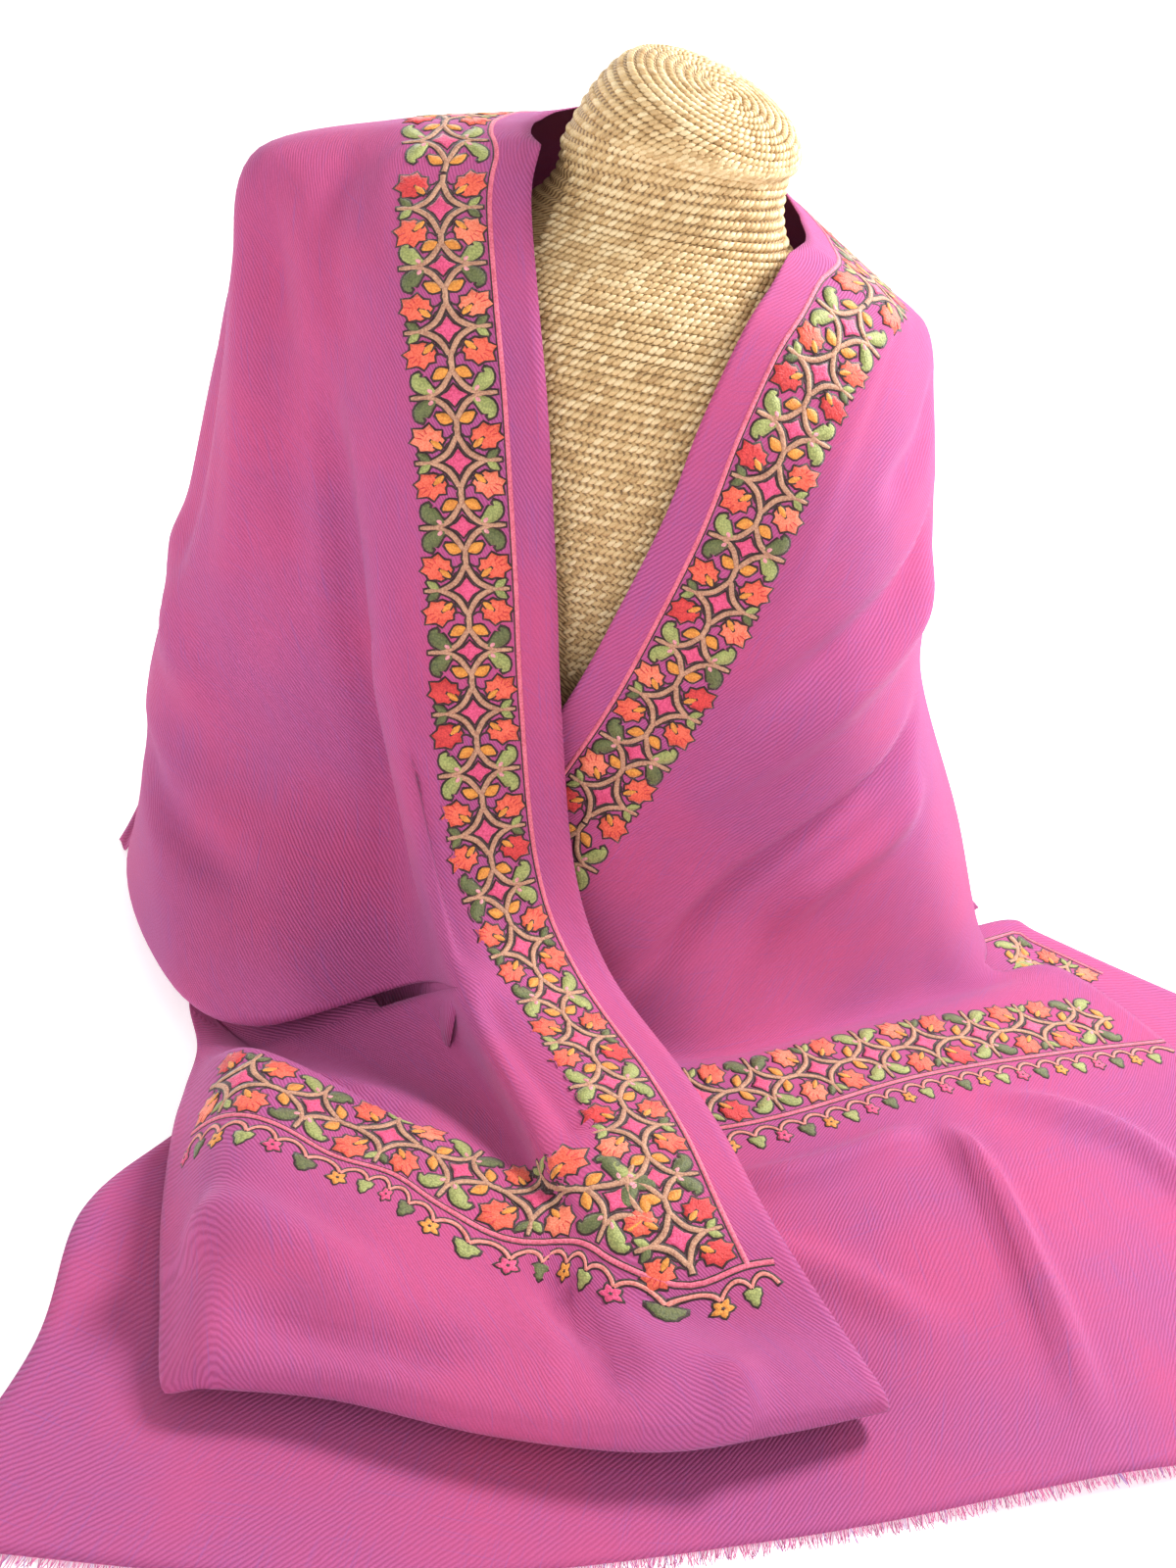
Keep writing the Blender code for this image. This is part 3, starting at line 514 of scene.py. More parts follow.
class GrowthTree(NodePlan):
    """A geometry-node tree with named sizes that ends in realized, dressed pieces."""

    def __init__(self, name: str, sizes: dict[str, float]) -> None:
        """Start the tree.

        Args:
            name: The tree's name.
            sizes: Its named number inputs, with what each is at first.
        """
        super().__init__(bpy.data.node_groups.new(name, "GeometryNodeTree"))
        face = self.tree.interface
        face.new_socket("Stations", in_out="INPUT", socket_type="NodeSocketGeometry")
        face.new_socket("Pieces", in_out="OUTPUT", socket_type="NodeSocketGeometry")
        for label, value in sizes.items():
            kind = "NodeSocketInt" if isinstance(value, int) else "NodeSocketFloat"
            face.new_socket(label, in_out="INPUT", socket_type=kind).default_value = value
        self.sizes = sizes
        self.source = self.tree.nodes.new("NodeGroupInput").outputs

    def attribute(self, name: str, kind: str = "FLOAT_VECTOR") -> bpy.types.NodeSocket:
        """Return the values that the stations carry under a name."""
        node = self.add("GeometryNodeInputNamedAttribute", {"Name": name}, data_type=kind)
        return next(s for s in node.outputs if s.enabled and s.name == "Attribute")

    def chance(self, low: float, high: float, salt: int) -> bpy.types.NodeSocket:
        """Return a random number for each station, from the tree's own seed."""
        node = self.add("FunctionNodeRandomValue", data_type="FLOAT")
        for socket in node.inputs:
            if socket.enabled and socket.name in ("Min", "Max"):
                socket.default_value = low if socket.name == "Min" else high
        total = self.math("ADD", self.source["Seed"], float(salt))
        self.tree.links.new(total, node.inputs["Seed"])
        return next(s for s in node.outputs if s.enabled)

    def lay(self, along: bpy.types.NodeSocket,
            outward: bpy.types.NodeSocket) -> bpy.types.NodeSocket:
        """Return the turn that takes X along a path and Z outwards."""
        first = self.add("FunctionNodeAlignRotationToVector", {"Vector": along}, axis="X")
        second = self.add("FunctionNodeAlignRotationToVector",
                          {"Rotation": first.outputs[0], "Vector": outward},
                          axis="Z", pivot_axis="X")
        return second.outputs[0]

    def turned(self, rotation: bpy.types.NodeSocket, x: object = 0.0, y: object = 0.0,
               z: object = 0.0) -> bpy.types.NodeSocket:
        """Return a rotation turned further by angles about its own axes."""
        angles = self.add("ShaderNodeCombineXYZ", {0: x, 1: y, 2: z})
        euler = self.add("FunctionNodeEulerToRotation", {0: angles.outputs[0]})
        node = self.add("FunctionNodeRotateRotation",
                        {"Rotation": rotation, "Rotate By": euler.outputs[0]},
                        rotation_space="LOCAL")
        return node.outputs[0]

    def end(self, geometry: bpy.types.NodeSocket, material: bpy.types.Material) -> None:
        """Realize, smooth and dress what the tree made, and join it to the output."""
        real = self.add("GeometryNodeRealizeInstances", {0: geometry})
        smooth = self.add("GeometryNodeSetShadeSmooth", {0: real.outputs[0]})
        dressed = self.add("GeometryNodeSetMaterial",
                           {"Geometry": smooth.outputs[0], "Material": material})
        sink = self.tree.nodes.new("NodeGroupOutput")
        self.tree.links.new(dressed.outputs[0], sink.inputs[0])

    def scatter(self, part: bpy.types.NodeSocket, rotation: bpy.types.NodeSocket,
                size: bpy.types.NodeSocket, salt: int, material: bpy.types.Material) -> None:
        """Put a part on each station, each with its own tone, and end the tree.

        Args:
            part: The part's shape.
            rotation: How it is turned.
            size: Its length, width and height.
            salt: What sets the tones' chance apart from the tree's others.
            material: Its finish.
        """
        toned = self.add("GeometryNodeStoreNamedAttribute", {
            "Geometry": self.source["Stations"], "Name": "tone",
            "Value": self.chance(0.0, 1.0, salt)}, data_type="FLOAT", domain="POINT")
        placed = self.add("GeometryNodeInstanceOnPoints", {
            "Points": toned.outputs[0], "Instance": part, "Rotation": rotation,
            "Scale": size})
        self.end(placed.outputs[0], material)

    def grow(self, name: str, stations: np.ndarray,
             carried: dict[str, np.ndarray]) -> bpy.types.Object:
        """Run the tree on stations and return its result as a plain piece.

        Args:
            name: The new piece's name.
            stations: The places that the tree works from.
            carried: Named values of each station, vectors or numbers.

        Returns:
            The plain mesh object.
        """
        mesh = bpy.data.meshes.new(name)
        mesh.from_pydata(np.asarray(stations).tolist(), [], [])
        for label, values in carried.items():
            values = np.asarray(values, float)
            kind = "FLOAT_VECTOR" if values.ndim == 2 else "FLOAT"
            store = mesh.attributes.new(label, kind, "POINT")
            store.data.foreach_set("vector" if values.ndim == 2 else "value", values.ravel())
        piece = bpy.data.objects.new(name, mesh)
        bpy.context.scene.collection.objects.link(piece)
        modifier = piece.modifiers.new("growth", "NODES")
        modifier.node_group = self.tree
        for item in self.tree.interface.items_tree:
            if item.item_type == "SOCKET" and item.in_out == "INPUT" and item.name in self.sizes:
                modifier[item.identifier] = self.sizes[item.name]
        settle(piece)
        for label in carried:
            if label in piece.data.attributes:
                piece.data.attributes.remove(piece.data.attributes[label])
        return piece


# ---------------------------------------------------------------------------- finishes
class Dress(NodePlan):
    """A material in the making: its tree and its shader."""

    def __init__(self, name: str) -> None:
        """Start a plain material under a name."""
        self.material = bpy.data.materials.new(name)
        self.material.use_nodes = True
        super().__init__(self.material.node_tree)
        self.shader = self.tree.nodes["Principled BSDF"]

    def place(self) -> bpy.types.NodeSocket:
        """Return each point's place on its piece."""
        return self.add("ShaderNodeTexCoord").outputs["Object"]

    def noise(self, place: bpy.types.NodeSocket, scale: float,
              detail: float = 2.0) -> bpy.types.NodeSocket:
        """Add noise over places and return it."""
        return self.add("ShaderNodeTexNoise", {"Vector": place, "Scale": scale,
                                               "Detail": detail}).outputs["Fac"]

    def finish(self, colour: bpy.types.NodeSocket | None, even: dict[str, object],
               height: bpy.types.NodeSocket | None = None, strength: float = 0.0,
               distance: float = 0.0) -> bpy.types.Material:
        """Join the colour and the relief to the shader and set its even values.

        Args:
            colour: The surface's colour, or None where it is one of the even values.
            even: Values that are the same all over, by the shader's own labels.
            height: The relief, or None where there is none.
            strength: How strongly the relief shows.
            distance: How high the relief stands.

        Returns:
            The finished material.
        """
        if colour is not None:
            self.tree.links.new(colour, self.shader.inputs["Base Color"])
        if height is not None:
            bump = self.add("ShaderNodeBump", {"Height": height, "Strength": strength,
                                               "Distance": distance})
            self.tree.links.new(bump.outputs[0], self.shader.inputs["Normal"])
        for label, value in even.items():
            self.shader.inputs[label].default_value = value
        return self.material


@dataclass(frozen=True)
class TwillFinish:
    """Fine wool twill in rose with violet cross threads.

    Args:
        lit: Main colour of the rose threads.
        wale_hollow_shade: Painted shade, a darker copy of the rose, in the hollows between the wales.
        rose: Colour of the redder patches.
        violet: Colour of the stray blue-violet threads.
        wale: Distance from wale to wale.
        slope: Angle of the wales to the cloth's width.
        thread: Threads to the metre, as the streaks count them.
        streak: Streaks to the metre along a thread.
    """
    lit: Point = (0.430, 0.088, 0.245)
    # Painted shade in the hollows between the wales.
    wale_hollow_shade: Point = (0.210, 0.026, 0.105)
    rose: Point = (0.490, 0.070, 0.185)
    violet: Point = (0.240, 0.090, 0.300)
    wale: float = 0.0023
    slope: float = math.radians(52.0)
    thread: float = 1500.0
    streak: float = 22.0

    def wales(self, plan: Dress, uv: bpy.types.NodeSocket) -> bpy.types.NodeSocket:
        """Return the wales' height from 0 to 1, a little uneven as the threads differ."""
        parts = plan.add("ShaderNodeSeparateXYZ", {0: uv})
        across = plan.math("ADD", plan.math("MULTIPLY", parts.outputs["X"],
                                            math.sin(self.slope)),
                           plan.math("MULTIPLY", parts.outputs["Y"], math.cos(self.slope)))
        across = plan.math("ADD", across, plan.math("MULTIPLY", plan.noise(uv, 90.0), 0.0022))
        wave = plan.math("SINE", plan.math("MULTIPLY", across, 2 * math.pi / self.wale))
        return plan.math("MULTIPLY_ADD", wave, 0.5, 0.5)

    def stray(self, plan: Dress, uv: bpy.types.NodeSocket, scales: Point, start: float,
              share: float) -> bpy.types.NodeSocket:
        """Return where stray threads of one direction show, and how much.

        Args:
            plan: The material.
            uv: Places on the flat cloth.
            scales: How fine the threads are across and along.
            start: Noise level at which they begin to show.
            share: How strongly they show at most.
        """
        stretched = plan.add("ShaderNodeVectorMath", {0: uv, 1: scales},
                             operation="MULTIPLY").outputs[0]
        level = plan.ramp(plan.noise(stretched, 1.0, 3.0),
                          [(start, (0, 0, 0)), (start + 0.16, (1, 1, 1))])
        return plan.math("MULTIPLY", level, share)

    def build(self) -> bpy.types.Material:
        """Build the material on the cloth's own UV map, which is in metres."""
        plan = Dress("shawl_twill")
        uv = plan.add("ShaderNodeUVMap", uv_map="weave").outputs[0]
        wales = self.wales(plan, uv)
        grain = plan.noise(uv, 1700.0)
        # Painted shade: the wales are lit rose on their crests and darker in the hollows between them.
        wales_shaded = plan.ramp(wales, [(0.05, self.wale_hollow_shade), (0.75, self.lit)])
        plain = plan.mix(0.58, self.lit, wales_shaded)
        patch = plan.ramp(plan.noise(plan.place(), 9.0, 3.0),
                          [(0.42, (0, 0, 0)), (0.66, (0.75, 0.75, 0.75))])
        colour = plan.mix(patch, plain, self.rose)
        warp = self.stray(plan, uv, (self.thread, self.streak, 1.0), 0.56, 0.50)
        weft = self.stray(plan, uv, (self.streak, self.thread, 1.0), 0.58, 0.42)
        for threads in (warp, weft):
            colour = plan.mix(threads, colour, self.violet)
        light = plan.math("MULTIPLY_ADD", grain, 0.5, 0.75)
        grey = plan.add("ShaderNodeCombineColor", {0: light, 1: light, 2: light}).outputs[0]
        return plan.finish(
            plan.mix(1.0, colour, grey, blend="MULTIPLY"),
            {"Roughness": 0.82, "Specular IOR Level": 0.22, "Sheen Weight": 0.20,
             "Sheen Roughness": 0.38, "Sheen Tint": (0.86, 0.62, 1.0, 1.0)},
            plan.math("ADD", wales, plan.math("MULTIPLY", grain, 0.7)), 0.55, 0.0005)


class Thread(Enum):
    """The embroidery threads, each with its main colour and a darker one for its darker strands and for
    the painted shade between its stitches.
    """
    OUTLINE = ((0.045, 0.012, 0.012), (0.020, 0.006, 0.006))
    STEM = ((0.600, 0.330, 0.200), (0.340, 0.150, 0.090))
    ROSE = ((0.760, 0.090, 0.230), (0.520, 0.030, 0.110))
    CORAL = ((0.860, 0.150, 0.080), (0.620, 0.060, 0.030))
    SALMON = ((0.900, 0.250, 0.140), (0.700, 0.120, 0.060))
    SCARLET = ((0.720, 0.050, 0.045), (0.450, 0.015, 0.020))
    OCHRE = ((0.800, 0.330, 0.045), (0.560, 0.180, 0.020))
    LEAF = ((0.400, 0.420, 0.130), (0.200, 0.220, 0.060))
    MOSS = ((0.150, 0.165, 0.050), (0.065, 0.078, 0.022))
    LINE = ((0.780, 0.180, 0.270), (0.560, 0.080, 0.140))
    PEACH = ((0.800, 0.300, 0.250), (0.580, 0.160, 0.130))
    BUD = ((0.820, 0.360, 0.400), (0.600, 0.190, 0.220))


@dataclass(frozen=True)
class ThreadFinish:
    """Chain stitches in twisted wool and silk.

    Args:
        stitch: Length of a stitch.
        roughness: How dull the threads are.
    """
    stitch: float = 0.0010
    roughness: float = 0.62

    def build(self, thread: Thread) -> bpy.types.Material:
        """Build one thread colour's material, with painted shade between its stitches."""
        main, dark = thread.value
        plan = Dress(f"thread_{thread.name.lower()}")
        place = plan.place()
        stitches = plan.add("ShaderNodeTexVoronoi", {"Vector": place,
                                                     "Scale": 1.0 / self.stitch})
        # Painted shade: each stitch is lighter in its middle and darker towards its rim and between
        # stitches; the noise adds darker strands at random.
        middle = plan.math("SUBTRACT", 1.0, stitches.outputs["Distance"])
        shade = plan.math("ADD", plan.math("MULTIPLY", middle, 0.62),
                          plan.math("MULTIPLY", plan.noise(place, 140.0, 1.0), 0.45))
        fibre = plan.math("MULTIPLY", plan.noise(place, 2600.0), 0.5)
        return plan.finish(
            plan.ramp(shade, [(0.30, dark), (0.78, main)]),
            {"Roughness": self.roughness, "Sheen Weight": 0.25, "Sheen Roughness": 0.4},
            plan.math("ADD", middle, fibre), 0.7, 0.0004)


@dataclass(frozen=True)
class YarnFinish:
    """Loose frayed ends of the twill's own threads.

    Args:
        tones: Where each colour falls among the threads' tones, with the colour.
    """
    tones: tuple[tuple[float, Point], ...] = (
        (0.0, (0.36, 0.06, 0.20)), (0.45, (0.62, 0.12, 0.30)),
        (0.80, (0.72, 0.16, 0.36)), (1.0, (0.36, 0.16, 0.46)))

    def build(self) -> bpy.types.Material:
        """Build the material; each thread carries its own tone from 0 to 1."""
        plan = Dress("frayed_yarn")
        tone = plan.add("ShaderNodeAttribute", attribute_name="tone").outputs["Fac"]
        return plan.finish(plan.ramp(tone, self.tones),
                           {"Roughness": 0.85, "Sheen Weight": 0.4},
                           plan.noise(plan.place(), 1800.0), 0.5, 0.0002)


@dataclass(frozen=True)
class StrawFinish:
    """Dry twisted seagrass in golden straw.

    Args:
        pale: Colour of the lightest blades.
        gold: The main colour.
        brown: Colour of the darkest blades.
        winding_shade: Painted shade, near black, in the troughs between the windings.
        twist: Length of one twist of the rope.
    """
    pale: Point = (0.780, 0.610, 0.360)
    gold: Point = (0.620, 0.420, 0.200)
    brown: Point = (0.400, 0.235, 0.095)
    # Painted shade, near black, in the troughs between the windings.
    winding_shade: Point = (0.045, 0.025, 0.012)
    twist: float = 0.0036

    def build_strands(self) -> bpy.types.Material:
        """Build the strands' material; each carries its own tone from 0 to 1."""
        plan = Dress("seagrass_strands")
        tone = plan.add("ShaderNodeAttribute", attribute_name="tone").outputs["Fac"]
        place = plan.place()
        fibre, blotch = plan.noise(place, 1300.0, 4.0), plan.noise(place, 45.0)
        shade = plan.math("ADD", plan.math("MULTIPLY", tone, 0.45),
                          plan.math("ADD", plan.math("MULTIPLY", fibre, 0.35),
                                    plan.math("MULTIPLY", blotch, 0.30)))
        return plan.finish(
            plan.ramp(shade, [(0.24, self.brown), (0.50, self.gold), (0.82, self.pale)]),
            {"Roughness": 0.52, "Specular IOR Level": 0.42}, fibre, 0.6, 0.0003)

    def build_core(self) -> bpy.types.Material:
        """Build the covered windings' material, with the twist drawn on its UV map and painted shade in
        the troughs between the windings.
        """
        plan = Dress("seagrass_windings")
        uv = plan.add("ShaderNodeUVMap", uv_map="winding").outputs[0]
        parts = plan.add("ShaderNodeSeparateXYZ", {0: uv})
        slant = plan.math("ADD", parts.outputs["X"],
                          plan.math("MULTIPLY", parts.outputs["Y"], 0.7))
        # Painted shade: the twist's troughs darken towards near black between the windings.
        twist = plan.math("SINE", plan.math("MULTIPLY", slant, 2 * math.pi / self.twist))
        fibre = plan.noise(plan.place(), 700.0, 3.0)
        shade = plan.math("ADD", plan.math("MULTIPLY_ADD", twist, 0.22, 0.3),
                          plan.math("MULTIPLY", fibre, 0.3))
        colour = plan.ramp(shade, [(0.12, self.winding_shade), (0.42, self.brown), (0.72, self.gold)])
        return plan.finish(colour, {"Roughness": 0.6}, shade, 0.8, 0.0008)


# --------------------------------------------------------------------------- the form
class BustForm:
    """The limbless form: a wound core and the twisted strands that show.

    Args:
        finish: The seagrass.
        rope: Diameter of the rope.
        strand_gap: Distance from strand to strand along the rope.
        sides: Points round each ring of the core.
    """
    hidden_below = 0.20         # height under which no strand shows
    cover_reach = 0.08          # how far out the shawl can hide a strand
    under_rim = 0.016           # how far the strands run on under the neckline
    sunk = 0.36                 # how deep the strands sit, as a share of the rope

    def __init__(self, finish: StrawFinish, rope: float = 0.0049, strand_gap: float = 0.0036,
                 sides: int = 96) -> None:
        """Set the sizes and work out the surface that the rope lies on."""
        self.finish, self.rope, self.strand_gap, self.sides = finish, rope, strand_gap, sides
        self.rings = self._control_rings()

    def _control_rings(self) -> np.ndarray:
        """Return the form's rings of points, from the base to the middle of the top."""
        angles = np.linspace(0, 2 * np.pi, self.sides, endpoint=False)
        c, s = math.cos(FORM_YAW), math.sin(FORM_YAW)
        turn = np.array([[c, -s, 0], [s, c, 0], [0, 0, 1.0]])
        rings = []
        for height, half_width, half_depth, middle in FORM_RINGS:
            flat = np.stack([half_width * np.cos(angles), half_depth * np.sin(angles),
                             0 * angles], axis=-1)
            rings.append(flat @ turn.T + (middle, 0, height))
        lean = np.array([*NECK_SLANT_DIRECTION, 0.0])
        for middle, radius, slant in NECK_RINGS:
            flat = radius * np.stack([np.cos(angles), np.sin(angles), 0 * angles], axis=-1)
            flat = flat @ turn.T
            reach = flat @ lean
            flat += np.outer(reach, lean) * (math.cos(math.radians(slant)) - 1)
            flat[:, 2] -= reach * math.sin(math.radians(slant))
            rings.append(flat + middle)
        top = rings[-1].mean(axis=0)
        rings.append(top + (rings[-1] - top) * 0.04)
        return np.stack(rings)

    def surface(self, at: np.ndarray) -> np.ndarray:
        """Return rings of points at positions along the form's outline."""
        return spline(self.rings, at)

    def outline(self) -> tuple[np.ndarray, np.ndarray]:
        """Return fine ring positions and the mean length up the outline at each."""
        at = np.linspace(0, len(self.rings) - 1, 600)
        rings = self.surface(at)
        return at, arc_lengths(rings, axis=0).mean(axis=1)

    def build_core(self) -> bpy.types.Object:
        """Build the wound core: one closed shell with a rounded ridge for each turn."""
        at, length = self.outline()
        turns = int(length[-1] / self.rope)
        stations = np.linspace(0, length[-1] * 0.999, turns * 4 + 1)
        rings = self.surface(np.interp(stations, length, at))
        closed = np.concatenate([rings, rings[:, :1]], axis=1)
        normals = unit(np.cross(np.gradient(closed, axis=1), np.gradient(closed, axis=0)))
        normals = normals[:, :-1]
        normals[:, 0] = unit(normals[:, 1] + normals[:, -1])
        ridge = np.abs(np.sin(np.pi * stations / self.rope))
        depth = 0.0010 + 0.0019 * (1 - ridge)
        inside = rings - normals * depth[:, None, None]
        inside[0] = rings[0]
        rows, sides = inside.shape[:2]
        points = np.concatenate([inside.reshape(-1, 3), [[0, 0, 0]],
                                 [inside[-1].mean(axis=0)]])
        faces = [list(face) for face in grid_faces(rows, sides, closed=True)]
        base, top, last = rows * sides, rows * sides + 1, (rows - 1) * sides
        for side in range(sides):
            following = (side + 1) % sides
            faces.append([base, following, side])
            faces.append([top, last + side, last + following])
        core = add_piece("rope_form_core", points, faces, [self.finish.build_core()])
        around = arc_lengths(np.concatenate([rings, rings[:, :1]], axis=1), axis=1)
        layer = core.data.uv_layers.new(name="winding")
        values = np.zeros((len(core.data.loops), 2))
        vertex = np.empty(len(core.data.loops), dtype=int)
        core.data.loops.foreach_get("vertex_index", vertex)
        seam = np.zeros(len(vertex))
        ring_of, side_of = vertex // sides, vertex % sides
        for start in range(0, (rows - 1) * sides * 4, 4):
            if {0, sides - 1} <= set(side_of[start:start + 4].tolist()):
                seam[start:start + 4] = side_of[start:start + 4] == 0
        inside_grid = vertex < rows * sides
        column = np.where(seam > 0, sides, side_of)
        values[inside_grid, 0] = around[ring_of[inside_grid], column[inside_grid]]
        values[inside_grid, 1] = stations[ring_of[inside_grid]]
        layer.data.foreach_set("uv", values.ravel())
        return core

    def winding(self) -> tuple[np.ndarray, np.ndarray, np.ndarray]:
        """Return the strands' stations on the rope, its direction and the way outwards."""
        at, length = self.outline()
        turns = int(length[-1] / self.rope)
        angles = np.arange(turns * self.sides)
        climb = angles / self.sides * self.rope + self.rope / 2
        angles, climb = angles[climb < length[-1]], climb[climb < length[-1]]
        ring_at = np.interp(climb, length, at)
        side = angles % self.sides
        points = np.empty((len(angles), 3))
        ahead = np.empty((len(angles), 3))
        for k in range(self.sides):
            chosen = side == k
            points[chosen] = spline(self.rings[:, k], ring_at[chosen])
            ahead[chosen] = spline(self.rings[:, k], ring_at[chosen] + 0.02)
        tangent = unit(np.gradient(points, axis=0))
        outward = unit(np.cross(tangent, unit(ahead - points)))
        run = arc_lengths(points)
        stops = np.arange(0, run[-1], self.strand_gap)
        points, tangent, outward = (read_at(stops, run, values)
                                    for values in (points, tangent, outward))
        return points, unit(tangent), unit(outward)

    def build_strands(self, cover: BVHTree, rim: np.ndarray) -> bpy.types.Object:
        """Build the twisted strands where the shawl leaves them open.

        Args:
            cover: The shawl's surface.
            rim: Points along the shawl's neckline, which the strands run under a little.

        Returns:
            The strands, as one plain mesh.
        """
        points, tangent, outward = self.winding()
        shown = []
        for point, way in zip(points, outward):
            hidden = point[2] < self.hidden_below
            if not hidden and cover.ray_cast(Vector(point), Vector(way), self.cover_reach)[0]:
                hidden = np.min(np.linalg.norm(rim - point, axis=1)) > self.under_rim
            shown.append(not hidden)
        shown = np.array(shown)
        points, tangent, outward = points[shown], tangent[shown], outward[shown]
        tree = GrowthTree("twisted_strands", {"Length": 0.0068, "Width": 0.0034,
                                              "Height": 0.0032, "Slant": 0.62, "Seed": 4})
        source = tree.source
        ball = tree.add("GeometryNodeMeshUVSphere", {"Segments": 6, "Rings": 4, "Radius": 0.5})
        rotation = tree.turned(tree.lay(tree.attribute("along"), tree.attribute("outward")),
                               z=tree.math("ADD", source["Slant"], tree.chance(-.07, .07, 1)))
        size = tree.add("ShaderNodeCombineXYZ", {
            0: tree.math("MULTIPLY", source["Length"], tree.chance(0.92, 1.08, 2)),
            1: tree.math("MULTIPLY", source["Width"], tree.chance(0.90, 1.08, 3)),
            2: source["Height"]})
        tree.scatter(ball.outputs["Mesh"], rotation, size.outputs[0], 4,
                     self.finish.build_strands())
        sunk = points - outward * (self.rope * self.sunk)
        return tree.grow("rope_strands", sunk, {"along": tangent, "outward": outward})

    def build(self, cover: BVHTree, rim: np.ndarray) -> None:
        """Build the form's pieces and put them in the place of its solid."""
        core = self.build_core()
        strands = self.build_strands(cover, rim)
        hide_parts("bust_form")
        for piece in (core, strands):
            attach(piece)


# --------------------------------------------------------------------------- the shawl
@dataclass
class Patch:
    """A part of the shawl as a fine grid: its drape, positions, points and threads."""
    drape: Drape
    rows_at: np.ndarray
    lines_at: np.ndarray
    points: np.ndarray = field(init=False)
    threads: np.ndarray = field(init=False)

    def __post_init__(self) -> None:
        """Read the grid's points from the drape."""
        self.points = self.drape.at(self.rows_at, self.lines_at)

    def fold(self, folds: Iterable[Fold]) -> None:
        """Raise the ridges and sink the troughs."""
        lift = sum((fold.lift(self.drape, self.points) for fold in folds),
                   np.zeros(self.points.shape[:2]))
        self.points = self.points + grid_normals(self.points) * lift[..., None] * FOLD_DEPTH

    def chart_threads(self, from_last: bool = False, over: object = 0.0,
                      down: object = 0.0) -> None:
        """Give each point its place on the flat cloth, across and along, in metres."""
        across = arc_lengths(self.points, axis=1)
        if from_last:
            across = across[:, -1:] - across
        along = arc_lengths(self.points, axis=0)
        self.threads = np.stack([across + over, along + down], axis=-1)

    def line(self, number: float) -> int:
        """Return the grid column nearest to a line."""
        return int(np.argmin(np.abs(self.lines_at - number)))

    def row(self, number: float) -> int:
        """Return the grid row nearest to a row."""
        return int(np.argmin(np.abs(self.rows_at - number)))


